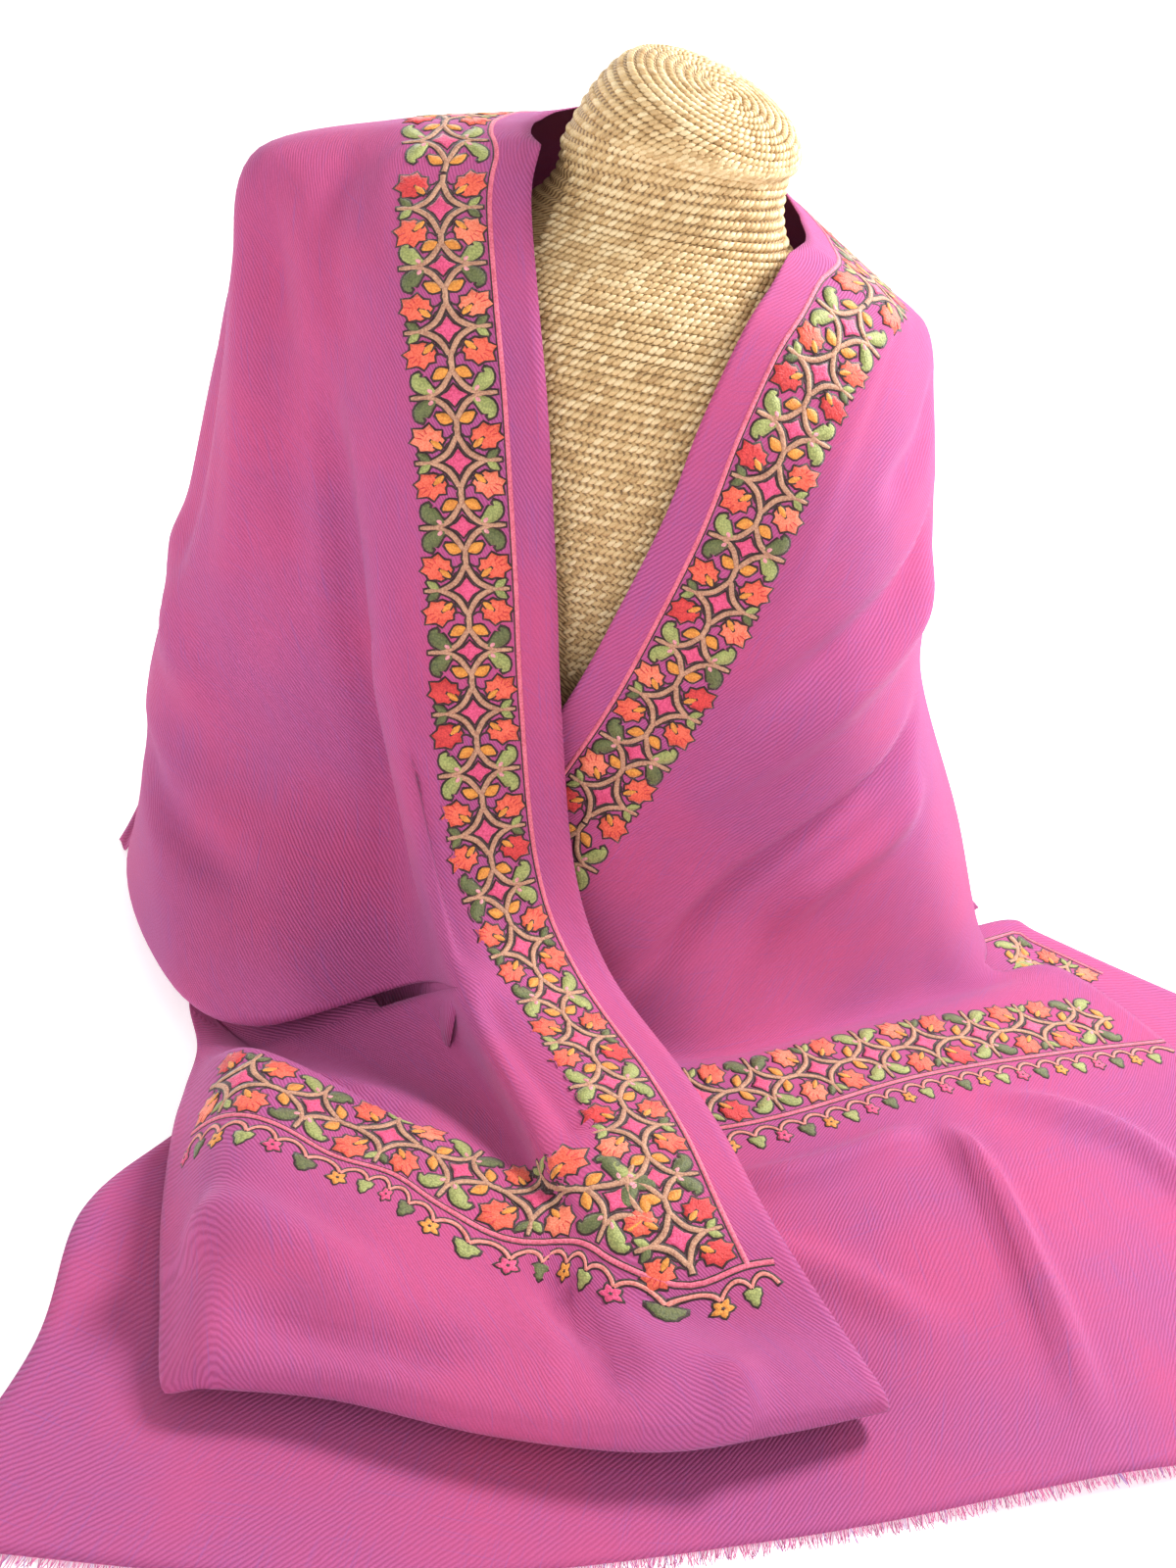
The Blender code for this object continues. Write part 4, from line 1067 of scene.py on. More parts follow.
class Shawl:
    """The whole shawl as it lies: halves, back, heaped end, spread end and pleat."""
    rim_radii = ((2, .0002), (3, .0022), (4, .0052), (5, .0055), (6, .0045))  # by line
    rim_tail = ((.006, .001), (.014, .006), (.022, .016), (.030, .040))  # inwards, down
    lowest = 0.0012             # how near the table the turned rim comes

    def __init__(self, finish: TwillFinish) -> None:
        """Set out every patch, fold it and join the edges that meet."""
        self.finish = finish
        table = len(CAPE) - 1
        cape = Drape([(0, row) for row in CAPE])
        rows, _ = cape.fine((0, table), (0, len(CAPE[0]) - 1))
        left_line, right_line = LEFT_LINES - 1, len(CAPE[0]) - RIGHT_LINES
        front = Drape([(0, row) for row in CAPE] + [(0, LEFT_HEAP[0][:STRIP_LINES]
                                                     + PANEL_RUN_ON)])
        heap = Drape([(0, row) for row in [CAPE[-2][:STRIP_LINES] + HEAP_RUN_IN,
                                           CAPE[-1][:STRIP_LINES] + HEAP_START] + LEFT_HEAP])
        back = Drape([(0, row) for row in CAPE] + [(left_line, BACK_HEM)])
        right = Drape([(0, row) for row in CAPE]
                      + [(right_line, [BACK_HEM[-1]] + RIGHT_END[0])]
                      + [(right_line + 1, row) for row in RIGHT_END[1:]])
        pleat = Drape([(0, row) for row in RIGHT_PLEAT])
        end = table + len(RIGHT_END)
        _, left_lines = front.fine((0, table), (0, left_line))
        heap_rows, _ = heap.fine((1, len(LEFT_HEAP) + 1), (0, left_line))
        hem_rows, back_lines = back.fine((table, table + 1), (left_line, right_line))
        _, side_lines = right.fine((table - 1, table), (right_line, right_line + 1))
        end_rows, end_lines = right.fine((table, end), (right_line + 1, len(CAPE[0]) - 1))
        pleat_rows, pleat_lines = pleat.fine((0, len(RIGHT_PLEAT) - 1), (0, 2))
        self.patches = {
            "left": Patch(front, rows, left_lines),
            "heap": Patch(heap, heap_rows, left_lines),
            "back": Patch(back, np.append(rows, hem_rows[1:]), back_lines),
            "right": Patch(right, rows, np.append(side_lines[:-1], end_lines)),
            "end": Patch(right, end_rows, end_lines),
            "pleat": Patch(pleat, pleat_rows, pleat_lines),
            "under": Patch(heap, np.linspace(0.0, 1.0, 8),
                           left_lines[left_lines >= STRIP_LINES + 0.2]),
        }
        for name, patch in self.patches.items():
            patch.fold(FOLDS.get(name, []))
        self.count = len(side_lines) - 1
        self.join_edges(len(rows))
        self.set_threads(len(rows))

    def join_edges(self, cape_rows: int) -> None:
        """Bring the edges of neighbouring patches to the same points."""
        left, heap, back, right, end = (self.patches[name].points for name in
                                        ("left", "heap", "back", "right", "end"))
        strip = self.patches["left"].line(STRIP_LINES - 1) + 1
        pairs = [(left[:, -1], back[:cape_rows, 0]), (right[:, 0], back[:cape_rows, -1]),
                 (left[-1, :strip], heap[0, :strip]), (right[-1, self.count:], end[0])]
        for one, other in pairs:
            middle = (one + other) / 2
            one[:] = middle
            other[:] = middle

    def set_threads(self, cape_rows: int) -> None:
        """Run the threads of the flat cloth through all patches."""
        parts = self.patches
        parts["left"].chart_threads()
        parts["heap"].chart_threads(down=parts["left"].threads[-1:, :, 1])
        width = np.full((len(parts["back"].rows_at), 1), parts["left"].threads[-1, -1, 0])
        width[:cape_rows] = parts["left"].threads[:, -1:, 0]
        parts["back"].chart_threads(over=width)
        parts["right"].chart_threads(from_last=True)
        parts["end"].chart_threads(from_last=True,
                                   down=parts["right"].threads[-1:, self.count:, 1])
        parts["pleat"].chart_threads()
        parts["under"].chart_threads()

    def turned_rim(self) -> np.ndarray:
        """Return the rim where the left panel is turned under, as a grid from its edge."""
        left = self.patches["left"]
        start = left.line(STRIP_LINES - 1)
        edge = left.points[-1, start:]
        onward = unit(left.points[-1, start:] - left.points[-3, start:])
        outward = grid_normals(left.points)[-1, start:]
        radius = np.interp(left.lines_at[start:], *zip(*self.rim_radii))[:, None]
        rows = [edge]
        for angle in np.linspace(0, np.pi, 9)[1:]:
            rows.append(edge + onward * radius * math.sin(angle)
                        - outward * radius * (1 - math.cos(angle)))
        turned = rows[-1]
        for step, drop in self.rim_tail:
            rows.append(turned - onward * step * np.minimum(radius / 0.004, 1)
                        - np.array([0, 0, drop]))
        rim = np.stack(rows)
        rim[..., 2] = np.maximum(rim[..., 2], self.lowest)
        return rim

    def cover(self, *names: str) -> BVHTree:
        """Return a search tree of the named patches, for placing things on them."""
        points, faces = [], []
        for name in names:
            grid = self.patches[name].points
            faces += grid_faces(*grid.shape[:2], offset=sum(map(len, points))).tolist()
            points.append(grid.reshape(-1, 3))
        return BVHTree.FromPolygons(np.concatenate(points).tolist(), faces)

    def build(self) -> bpy.types.Object:
        """Build the cloth as one thin shell on its metre UV map."""
        grids = [(patch.points, patch.threads) for patch in self.patches.values()]
        rim = self.turned_rim()
        left = self.patches["left"]
        base = left.threads[-1, left.line(STRIP_LINES - 1):]
        fall = np.stack([0 * arc_lengths(rim), arc_lengths(rim)], axis=-1)
        grids.append((rim, base[None] + fall))
        points, threads, faces, total = [], [], [], 0
        for grid, flat in grids:
            faces.append(grid_faces(*grid.shape[:2], offset=total))
            points.append(grid.reshape(-1, 3))
            threads.append(flat.reshape(-1, 2))
            total += len(points[-1])
        faces = np.concatenate(faces)
        threads = np.concatenate(threads)
        shawl = add_piece("shawl", np.concatenate(points), faces, [self.finish.build()])
        unwrap(shawl, "weave", threads)
        weld = shawl.modifiers.new("weld", "WELD")
        weld.merge_threshold = 0.00005
        shell = shawl.modifiers.new("thickness", "SOLIDIFY")
        shell.thickness, shell.offset = SHELL, 0.0
        settle(shawl)
        shawl.data.shade_smooth()
        return shawl


# ------------------------------------------------------------------------- needlework
OUTLINE_SHARE = 1.75        # how much wider the dark outlines are sewn than their plan


class Border:
    """A strip of the cloth along a route, charted by distance along it and across it."""

    def __init__(self, parts: Sequence[tuple[BVHTree, np.ndarray, np.ndarray]],
                 centre: float, behind: int = 0, ahead: int = 30, calm: int = 4) -> None:
        """March inwards from a route over the cloth.

        Args:
            parts: For each part of the route, the cloth to march on, the route's points,
                and about which way is inwards at each.
            centre: Distance from the route to the middle of the floral band.
            behind: Steps to march the other way too.
            ahead: Steps to march inwards.
            calm: How many neighbours smooth the route's direction.
        """
        self.centre, self.behind = centre, behind
        covers, route, hints, self.part = [], [], [], []
        for number, (cover, line, hint) in enumerate(parts):
            length = arc_lengths(line)
            stops = np.linspace(0, length[-1], max(2, int(length[-1] / EDGE_STEP)),
                                endpoint=False)
            route.append(read_at(stops, length, line))
            hints.append(read_at(stops, length, hint))
            covers += [cover] * len(stops)
            self.part += [number] * len(stops)
        route, hints = np.concatenate(route), np.concatenate(hints)
        tangents = unit(smooth_along(unit(np.gradient(route, axis=0)), calm, 2))
        count = behind + ahead + 1
        self.points = np.zeros((len(route), count, 3))
        self.normals = np.zeros((len(route), count, 3))
        for i, (cover, start, tangent, hint) in enumerate(zip(covers, route, tangents, hints)):
            for way, steps in ((1, ahead), (-1, behind)):
                place, normal = self.touch(cover, start)
                heading = np.cross(tangent, normal)
                heading *= np.sign(heading @ hint) * way
                self.points[i, behind], self.normals[i, behind] = place, normal
                for step in range(1, steps + 1):
                    heading = heading - normal * (heading @ normal)
                    heading /= np.linalg.norm(heading)
                    place, normal = self.touch(cover, place + heading * MARCH_STEP)
                    self.points[i, behind + way * step] = place
                    self.normals[i, behind + way * step] = normal
        self.covers, self.part = covers, np.array(self.part)
        self.points = smooth_along(self.points, 1)
        self.normals = unit(smooth_along(self.normals, 2))
        middle = self.points[:, behind + round(centre / MARCH_STEP)]
        self.along = arc_lengths(middle)
        self.middle = middle

    @staticmethod
    def touch(cover: BVHTree, place: np.ndarray) -> tuple[np.ndarray, np.ndarray]:
        """Return the nearest point on the cloth and its outward normal."""
        spot, normal, _, _ = cover.find_nearest(Vector(place))
        return np.array(spot), np.array(normal)

    def nearest(self, place: Point, part: int) -> float:
        """Return how far along the band, in one part of its route, a place lies."""
        away = np.linalg.norm(self.middle - place, axis=1)
        return float(self.along[np.argmin(np.where(self.part == part, away, np.inf))])

    def place(self, along: np.ndarray, across: np.ndarray, height: np.ndarray) -> np.ndarray:
        """Return points on the cloth for chart places.

        Args:
            along: Distances along the band's middle.
            across: Distances from the middle towards the line, in metres.
            height: Heights above the cloth.
        """
        i = np.interp(along, self.along, np.arange(len(self.along)))
        k = np.clip((self.centre - across) / MARCH_STEP + self.behind, 0,
                    self.points.shape[1] - 1.001)
        i = np.clip(i, 0, len(self.along) - 1.001)
        i0, k0 = i.astype(int), k.astype(int)
        di, dk = (i - i0)[:, None], (k - k0)[:, None]
        def blend(grid: np.ndarray) -> np.ndarray:
            """Read a grid between its stations."""
            return ((grid[i0, k0] * (1 - di) + grid[i0 + 1, k0] * di) * (1 - dk)
                    + (grid[i0, k0 + 1] * (1 - di) + grid[i0 + 1, k0 + 1] * di) * dk)
        places, normals = blend(self.points), unit(blend(self.normals))
        snapped = np.array([self.covers[a].find_nearest(Vector(p))[0]
                            for a, p in zip(i0, places)])
        return snapped + normals * (height + SHELL / 2)[:, None]


class Needlework:
    """Shapes sewn on the cloth: blades, petals and lines, each with its dark outline."""

    def __init__(self, name: str, finish: ThreadFinish, seed: int) -> None:
        """Start an empty piece."""
        self.name, self.finish = name, finish
        self.vertices: list[np.ndarray] = []
        self.faces: list[tuple[int, ...]] = []
        self.slots: list[int] = []
        self.total = 0
        self.random = np.random.default_rng(seed)
        self.order = list(Thread)

    def keep(self, points: np.ndarray, faces: Iterable[Sequence[int]], thread: Thread) -> None:
        """Add finished points and faces in one thread."""
        start = self.total
        self.vertices.append(points)
        self.total += len(points)
        slot = self.order.index(thread)
        for face in faces:
            self.faces.append(tuple(start + int(i) for i in face))
            self.slots.append(slot)

    def blade(self, border: Border, spine: np.ndarray, widths: Sequence[float], thread: Thread,
              low: float = 0.25, high: float = 0.60, outline: float = 0.0) -> None:
        """Sew a shape along a spine, as wide as the widths say.

        Args:
            border: The chart that it lies on.
            spine: Chart places, in metres.
            widths: Full widths in millimetres at even places along the spine.
            thread: The thread.
            low: Height of its edges in millimetres.
            high: Height of its middle in millimetres.
            outline: Width of a dark outline round it in millimetres.
        """
        spine = np.asarray(spine, float)
        knots = np.linspace(0, len(spine) - 1, max(4, 2 * len(spine)))
        line = spline(spine, knots)
        wide = np.interp(knots, np.linspace(0, len(spine) - 1, len(widths)), widths) * MM
        outline *= OUTLINE_SHARE
        if outline:
            ends = unit(np.array([line[0] - line[1], line[-1] - line[-2]])) * outline * MM
            longer = line + 0
            longer[0] += ends[0]
            longer[-1] += ends[1]
            self.strip(border, longer, wide + 2 * outline * MM, Thread.OUTLINE,
                       max(0.16, low - 0.09), max(0.24, low - 0.04))
        self.strip(border, line, wide, thread, low, high)

    def strip(self, border: Border, line: np.ndarray, wide: np.ndarray, thread: Thread,
              low: float, high: float) -> None:
        """Lay one rounded strip of thread along a line of chart places."""
        run = unit(np.gradient(line, axis=0))
        side = np.stack([-run[:, 1], run[:, 0]], axis=-1) * wide[:, None] / 2
        offsets = ((1.0, -0.30), (1.0, low), (0.0, high), (-1.0, low), (-1.0, -0.30))
        places = np.stack([line + side * share for share, _ in offsets], axis=1)
        heights = np.array([level * MM for _, level in offsets])
        heights = np.broadcast_to(heights, places.shape[:2])
        points = border.place(places[..., 0].ravel(), places[..., 1].ravel(),
                              heights.ravel())
        self.keep(points, grid_faces(len(line), len(offsets)), thread)

    def disc(self, border: Border, middle: np.ndarray, rim: np.ndarray, thread: Thread,
             low: float = 0.25, high: float = 0.55, outline: float = 0.7) -> None:
        """Sew a filled shape round its middle, with rim given as chart places."""
        outline *= OUTLINE_SHARE
        if outline:
            wider = middle + (rim - middle) * (1 + outline * MM / np.linalg.norm(
                rim - middle, axis=1, keepdims=True))
            self.dome(border, middle, wider, Thread.OUTLINE, 0.14, 0.22)
        self.dome(border, middle, rim, thread, low, high)

    def dome(self, border: Border, middle: np.ndarray, rim: np.ndarray, thread: Thread,
             low: float, high: float) -> None:
        """Lay one shallow dome of thread."""
        rings = ((1.0, -0.30), (1.0, low), (0.62, high), (0.25, high))
        count = len(rim)
        places = np.concatenate([middle + (rim - middle) * share for share, _ in rings]
                                + [middle[None]])
        heights = np.concatenate([np.full(count, level * MM) for _, level in rings]
                                 + [[high * MM]])
        points = border.place(places[:, 0], places[:, 1], heights)
        faces = [list(face) for face in grid_faces(len(rings), count, closed=True)]
        last = (len(rings) - 1) * count
        faces += [[last + i, last + (i + 1) % count, last + count] for i in range(count)]
        self.keep(points, faces, thread)

    def build(self) -> bpy.types.Object:
        """Make the piece from everything sewn so far."""
        materials = [self.finish.build(thread) for thread in self.order]
        piece = add_piece(self.name, np.concatenate(self.vertices), self.faces, materials)
        piece.data.polygons.foreach_set("material_index", self.slots)
        piece.data.update()
        return piece


class Motif(Enum):
    """The two cells of the floral band, which take turns."""
    LEAVES = "four curled leaves"
    FLOWERS = "four maple-like flowers"


# Radii of a flower in millimetres at even steps from its tip round to its base.
FLOWER_RADII = (13.6, 9.4, 11.6, 8.0, 9.8, 7.0, 8.2, 7.2, 7.6)


@dataclass
class FloralBand:
    """The floral band: its cells, the line beside it and the scallops beyond.

    Args:
        work: The needlework piece it is sewn into.
        line_offset: Distance from the band's middle to the line, in millimetres.
        scallop: Width of one scallop, in millimetres.
    """
    work: Needlework
    line_offset: float = 24.5
    scallop: float = 14.5

    def place(self, at: float, points: Sequence[tuple[float, float]], s: int = 1,
              t: int = 1, stretch: float = 1.0) -> np.ndarray:
        """Return chart places for points in millimetres, mirrored as s and t say."""
        shape = np.array(points, float) * (s * stretch, t) * MM
        return shape + (at, 0.0)

    def cell(self, border: Border, at: float, kind: Motif, stretch: float = 1.0) -> None:
        """Sew one cell: its diamond, star of stems and four flowers or leaves.

        Args:
            border: The chart that it lies on.
            at: Distance of its middle along the band, in metres.
            kind: Which of the two cells it is.
            stretch: The cell's length as a share of the full pitch.
        """
        work = self.work
        half = 8.0 if kind is Motif.FLOWERS else 6.6
        corner = [(half, 0), (half * .45, 2.4), (half * .30, 3.4), (half * .22, 4.6), (0, 6.6)]
        rim = (corner[:-1] + [(-x, y) for x, y in corner[:0:-1]]
               + [(-x, -y) for x, y in corner[:-1]] + [(x, -y) for x, y in corner[:0:-1]])
        work.disc(border, np.array([at, 0.0]), self.place(at, rim, stretch=stretch),
                  Thread.ROSE, high=0.40)
        node = 15.0 if kind is Motif.FLOWERS else 14.0
        for s in (1, -1):
            trunk = self.place(at, [(node - 1, 0), (17.5, 0.3), (20.5, 0)], s, 1, stretch)
            work.blade(border, trunk, (3.0, 2.4, 2.8), Thread.STEM, outline=0.55)
            for t in (1, -1):
                def put(points: Sequence[tuple[float, float]]) -> np.ndarray:
                    """Place points in this quarter of the cell."""
                    return self.place(at, points, s, t, stretch)
                stem = [(node, 0.6), (9.2, 3.0), (5.0, 5.6), (2.2, 9.0), (0.3, 12.6)]
                work.blade(border, put(stem), (2.4, 2.6, 2.6, 2.2), Thread.STEM, outline=0.6)
                work.blade(border, put([(17.0, 2.2), (14.6, 4.6), (15.4, 7.4)]), (.8, 1.2, .6),
                           Thread.OUTLINE, low=0.08, high=0.25)
                if kind is Motif.FLOWERS:
                    self.flower(border, put)
                    work.blade(border, put([(1.2, 14.2), (3.4, 17.0), (6.0, 19.6)]),
                               (0.8, 4.0, 3.4, 0.6), self.pick(Thread.LEAF, Thread.MOSS),
                               outline=0.6)
                else:
                    work.blade(border, put([(2.6, 9.2), (5.4, 13.4), (9.2, 16.6), (12.6, 17.6),
                                            (14.6, 15.8)]), (1.6, 6.8, 8.0, 4.2, 0.8),
                               self.pick(Thread.LEAF, Thread.LEAF, Thread.MOSS), outline=0.65)
                    work.blade(border, put([(2.6, 10.4), (4.6, 12.6)]), (1.2, 2.4, 1.0),
                               Thread.BUD, low=0.5, high=0.85)
                    work.blade(border, put([(14.4, 15.6), (15.4, 17.6), (13.8, 19.2)]),
                               (0.8, 0.7, 0.5), Thread.OUTLINE, low=0.1, high=0.3)
                    work.blade(border, put([(15.6, 1.8), (13.8, 5.4), (10.8, 9.4)]),
                               (0.7, 5.0, 5.4, 0.8), Thread.OCHRE, outline=0.6)
        for t in (1, -1):
            tip = self.place(at, [(0, 12.0), (0, 16.5), (0, 21.2)], 1, t, stretch)
            work.blade(border, tip, (2.6, 1.8, 2.4, 1.2), Thread.STEM, outline=0.5)

    def pick(self, *threads: Thread) -> Thread:
        """Return one of the threads by the piece's own seeded chance."""
        return threads[int(self.work.random.integers(len(threads)))]

    def flower(self, border: Border,
               put: Callable[[Sequence[tuple[float, float]]], np.ndarray]) -> None:
        """Sew one lobed flower with its almond heart in a quarter of a cell."""
        middle, lean = (13.2, 12.9), math.radians(47)
        rim = []
        count = len(FLOWER_RADII) - 1
        for step in range(2 * count):
            index = step if step <= count else 2 * count - step
            angle = lean + math.pi * step / count
            radius = FLOWER_RADII[index] * (1.0 + float(self.work.random.uniform(-.05, .05)))
            radius *= 0.86 if math.sin(angle) > 0 else 0.80
            rim.append((middle[0] + radius * math.cos(angle),
                        middle[1] + radius * math.sin(angle)))
        thread = self.pick(Thread.CORAL, Thread.SALMON, Thread.CORAL, Thread.SCARLET)
        self.work.disc(border, put([middle])[0], put(rim), thread)
        self.work.blade(border, put([(8.4, 7.8), (10.8, 10.2), (13.4, 12.8)]),
                        (1.0, 3.0, 2.8, 0.8), Thread.OCHRE, low=0.62, high=0.95, outline=0.5)
        self.work.blade(border, put([(12.4, 3.0), (10.6, 5.2), (8.0, 6.6)]), (0.7, 1.6, 0.7),
                        Thread.OUTLINE, low=0.08, high=0.25)
        for tip in (-0.42, 0.0, 0.42):
            angle = lean + tip
            vein = [(middle[0] + reach * math.cos(angle), middle[1] + reach * math.sin(angle))
                    for reach in (4.6, 6.4, 8.4)]
            self.work.blade(border, put(vein), (0.7, 0.6, 0.3), Thread.SCARLET, .55, .66)

    def line(self, border: Border, start: float, end: float, dashes: bool = True) -> None:
        """Sew the rose line beside the band, with its two dark edges.

        Args:
            border: The chart that it lies on.
            start: Where it starts along the band, in metres.
            end: Where it ends.
            dashes: Whether the outer edge is a row of dashes.
        """
        offset = self.line_offset * MM
        count = max(3, int(abs(end - start) / 0.004))
        along = np.linspace(start, end, count)
        def run(shift: float) -> np.ndarray:
            """Return the line's places, shifted across by millimetres."""
            return np.stack([along, np.full(count, offset + shift * MM)], axis=-1)
        self.work.strip(border, run(0.0), np.full(count, 2.3 * MM), Thread.LINE, 0.25, 0.60)
        self.work.strip(border, run(-1.5), np.full(count, 0.8 * MM), Thread.OUTLINE, .1, .3)
        if not dashes:
            self.work.strip(border, run(1.5), np.full(count, 0.8 * MM), Thread.OUTLINE, .1, .3)

    def scallops(self, border: Border, start: float, end: float) -> None:
        """Sew the arches past an end line, with a floret at each of their joints.

        Args:
            border: The chart that they lie on.
            start: Where they start along the band, in metres.
            end: Where they end.
        """
        count = max(1, round(abs(end - start) / (self.scallop * MM)))
        stops = np.linspace(start, end, count + 1)
        row = [Thread.LEAF, Thread.OCHRE, Thread.MOSS, Thread.ROSE]
        for index, (low, high) in enumerate(zip(stops, stops[1:])):
            share = np.linspace(0, 1, 9)
            rise = np.sin(np.pi * share) ** 0.7
            arch = np.stack([low + (high - low) * share,
                             (self.line_offset + 10.0 - 5.2 * rise) * MM], axis=-1)
            self.work.blade(border, arch, (1.5, 1.8, 1.5), Thread.PEACH, outline=0.5)
            middle = np.array([high, (self.line_offset + 13.6) * MM])
            self.floret(border, middle, row[index % len(row)])

    def floret(self, border: Border, middle: np.ndarray, thread: Thread) -> None:
        """Sew a small floret of five petals, or a three-lobed leaf in green."""
        leafy = thread in (Thread.LEAF, Thread.MOSS)
        petals, count = (3, 12) if leafy else (5, 20)
        angles = np.linspace(0, 2 * np.pi, count, endpoint=False)
        radii = (3.5 + 1.0 * np.cos(petals * angles)) * (1.12 if leafy else 1.0) * MM
        rim = middle + np.stack([-np.sin(angles) * radii, np.cos(angles) * radii], axis=-1)
        self.work.disc(border, middle, rim, thread, outline=0.6)
        if not leafy:
            eye = middle + (rim - middle) * 0.25
            self.work.dome(border, middle, eye, Thread.OUTLINE, 0.5, 0.7)


# ------------------------------------------------------------------------------ fringe
@dataclass
class Fringe:
    """The frayed threads past a woven end.

    Args:
        finish: The threads' finish.
        spacing: Distance from thread to thread.
        reach: Mean length of the threads.
    """
    finish: YarnFinish
    spacing: float = 0.00055
    reach: float = 0.0062

    def build(self, name: str, edge: np.ndarray, inner: np.ndarray, node: str) -> bpy.types.Object:
        """Build the fringe of one end.

        Args:
            name: The piece's name.
            edge: Points along the woven end.
            inner: Points a little further in on the cloth.
            node: The solid that it stands for.

        Returns:
            The fringe, as one plain mesh.
        """
        length = arc_lengths(edge)
        stops = np.arange(0.0002, length[-1], self.spacing)
        start, way = read_at(stops, length, edge), read_at(stops, length, edge - inner)
        way[:, 2] *= 0.3
        tree = GrowthTree("frayed_threads", {"Reach": self.reach, "Thickness": 0.00042,
                                             "Seed": 9})
        source = tree.source
        curve = tree.add("GeometryNodeCurveQuadraticBezier", {
            "Resolution": 4, "Start": (0.0, 0.0, 0.0), "Middle": (0.55, 0.10, 0.05),
            "End": (1.0, -0.06, -0.03)})
        round_ = tree.add("GeometryNodeCurvePrimitiveCircle", {"Resolution": 3, "Radius": 0.05})
        thread = tree.add("GeometryNodeCurveToMesh", {"Curve": curve.outputs[0],
                                                      "Profile Curve": round_.outputs[0]})
        rotation = tree.turned(tree.lay(tree.attribute("way"), tree.attribute("up")),
                               x=tree.chance(-3.1, 3.1, 1), y=tree.chance(-.05, .12, 2),
                               z=tree.chance(-0.42, 0.42, 3))
        thick = tree.math("MULTIPLY", source["Thickness"], 10.0)
        size = tree.add("ShaderNodeCombineXYZ", {
            0: tree.math("MULTIPLY", source["Reach"], tree.chance(0.55, 1.12, 4)),
            1: thick, 2: thick})
        tree.scatter(thread.outputs[0], rotation, size.outputs[0], 5, self.finish.build())
        up = np.tile((0.0, 0.0, 1.0), (len(stops), 1))
        piece = tree.grow(name, start + (0, 0, 0.0001), {"way": unit(way), "up": up})
        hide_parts(node)
        attach(piece)
        return piece


# --------------------------------------------------------------------------- the set
@dataclass(frozen=True)
class Studio:
    """The plain pale floor, the soft lights and the camera.

    Args:
        lens: Focal length in millimetres on a 36 mm sensor.
        roll: How far the camera is rolled.
        eye: Where the camera stands.
    """
    lens: float = 37.98
    roll: float = math.radians(12.0)
    eye: Point = (0.023, -0.900, 0.5615)

    def build_floor(self) -> None:
        """Lay the floor and put the plain backdrop round it."""
        size, radius, height, sides = 40.0, 14.0, 9.0, 64
        white = (1.0, 1.0, 1.0, 1.0)
        plan = Dress("floor_paper")
        colour = plan.ramp(plan.noise(plan.place(), 3.0),
                           [(0.3, (0.88, 0.88, 0.88)), (0.7, (0.92, 0.92, 0.92))])
        paper = plan.finish(colour, {"Roughness": 0.9, "Emission Color": white,
                                     "Emission Strength": 0.45})
        add_piece("floor", size * np.array([(-1, -1, 0), (1, -1, 0),
                                                     (1, 1, 0), (-1, 1, 0)]),
                           [(0, 1, 2, 3)], [paper])
        paper = Dress("backdrop_paper").finish(None, {
            "Base Color": (0.9, 0.9, 0.9, 1.0), "Roughness": 0.95, "Emission Color": white,
            "Emission Strength": 0.8})
        angles = np.linspace(0, 2 * np.pi, sides, endpoint=False)
        ring = np.stack([radius * np.cos(angles), radius * np.sin(angles), 0 * angles], -1)
        add_piece("backdrop", np.concatenate([ring, ring + (0, 0, height)]),
                           grid_faces(2, sides, closed=True)[:, ::-1].tolist(), [paper])

    def build_lights(self) -> None:
        """Hang the soft lights and set the even light all round."""
        world = bpy.data.worlds.new("studio")
        bpy.context.scene.world = world
        world.use_nodes = True
        ground = world.node_tree.nodes["Background"]
        ground.inputs["Color"].default_value = (1.0, 1.0, 1.0, 1.0)
        ground.inputs["Strength"].default_value = 0.46
        for name, place, target, power, size in (
                ("key", (0.75, 0.30, 1.15), (0.0, -0.1, 0.2), 27.0, 0.36),
                ("front", (-0.30, -1.7, 1.2), (0.0, -0.1, 0.2), 4.0, 1.2),
                ("back", (-0.6, 1.2, 1.2), (0.0, 0.0, 0.3), 5.0, 1.2)):
            lamp = bpy.data.lights.new(name, "AREA")
            lamp.energy, lamp.size = power, size
            light = bpy.data.objects.new(name, lamp)
            bpy.context.scene.collection.objects.link(light)
            light.location = place
            light.rotation_euler = (Vector(target) - Vector(place)).to_track_quat(
                "-Z", "Y").to_euler()

    def build_camera(self) -> None:
        """Set up the camera that looks down on the front."""
        back = np.array([0.0, -0.883, 0.469])
        up = np.array([0.0, 0.469, 0.883])
        right = np.array([1.0, 0.0, 0.0])
        c, s = math.cos(self.roll), math.sin(self.roll)
        across, rise = c * right + s * up, -s * right + c * up
        back /= np.linalg.norm(back)
        lens = bpy.data.cameras.new("camera")
        lens.lens, lens.sensor_width = self.lens, 36.0
        lens.sensor_fit = "AUTO"
        lens.clip_start = 0.01
        camera = bpy.data.objects.new("camera", lens)
        bpy.context.scene.collection.objects.link(camera)
        matrix = np.eye(4)
        matrix[:3, 0], matrix[:3, 1], matrix[:3, 2], matrix[:3, 3] = across, rise, back, self.eye
        camera.matrix_world = Matrix(matrix.tolist())
        bpy.context.scene.camera = camera

    def build(self) -> None:
        """Clear what a new scene holds and build the whole set."""
        for name in ("Cube", "Light", "Camera"):
            if name in bpy.data.objects:
                bpy.data.objects.remove(bpy.data.objects[name], do_unlink=True)
        self.build_floor()
        self.build_lights()
        self.build_camera()
        bpy.context.scene.view_settings.view_transform = "Standard"


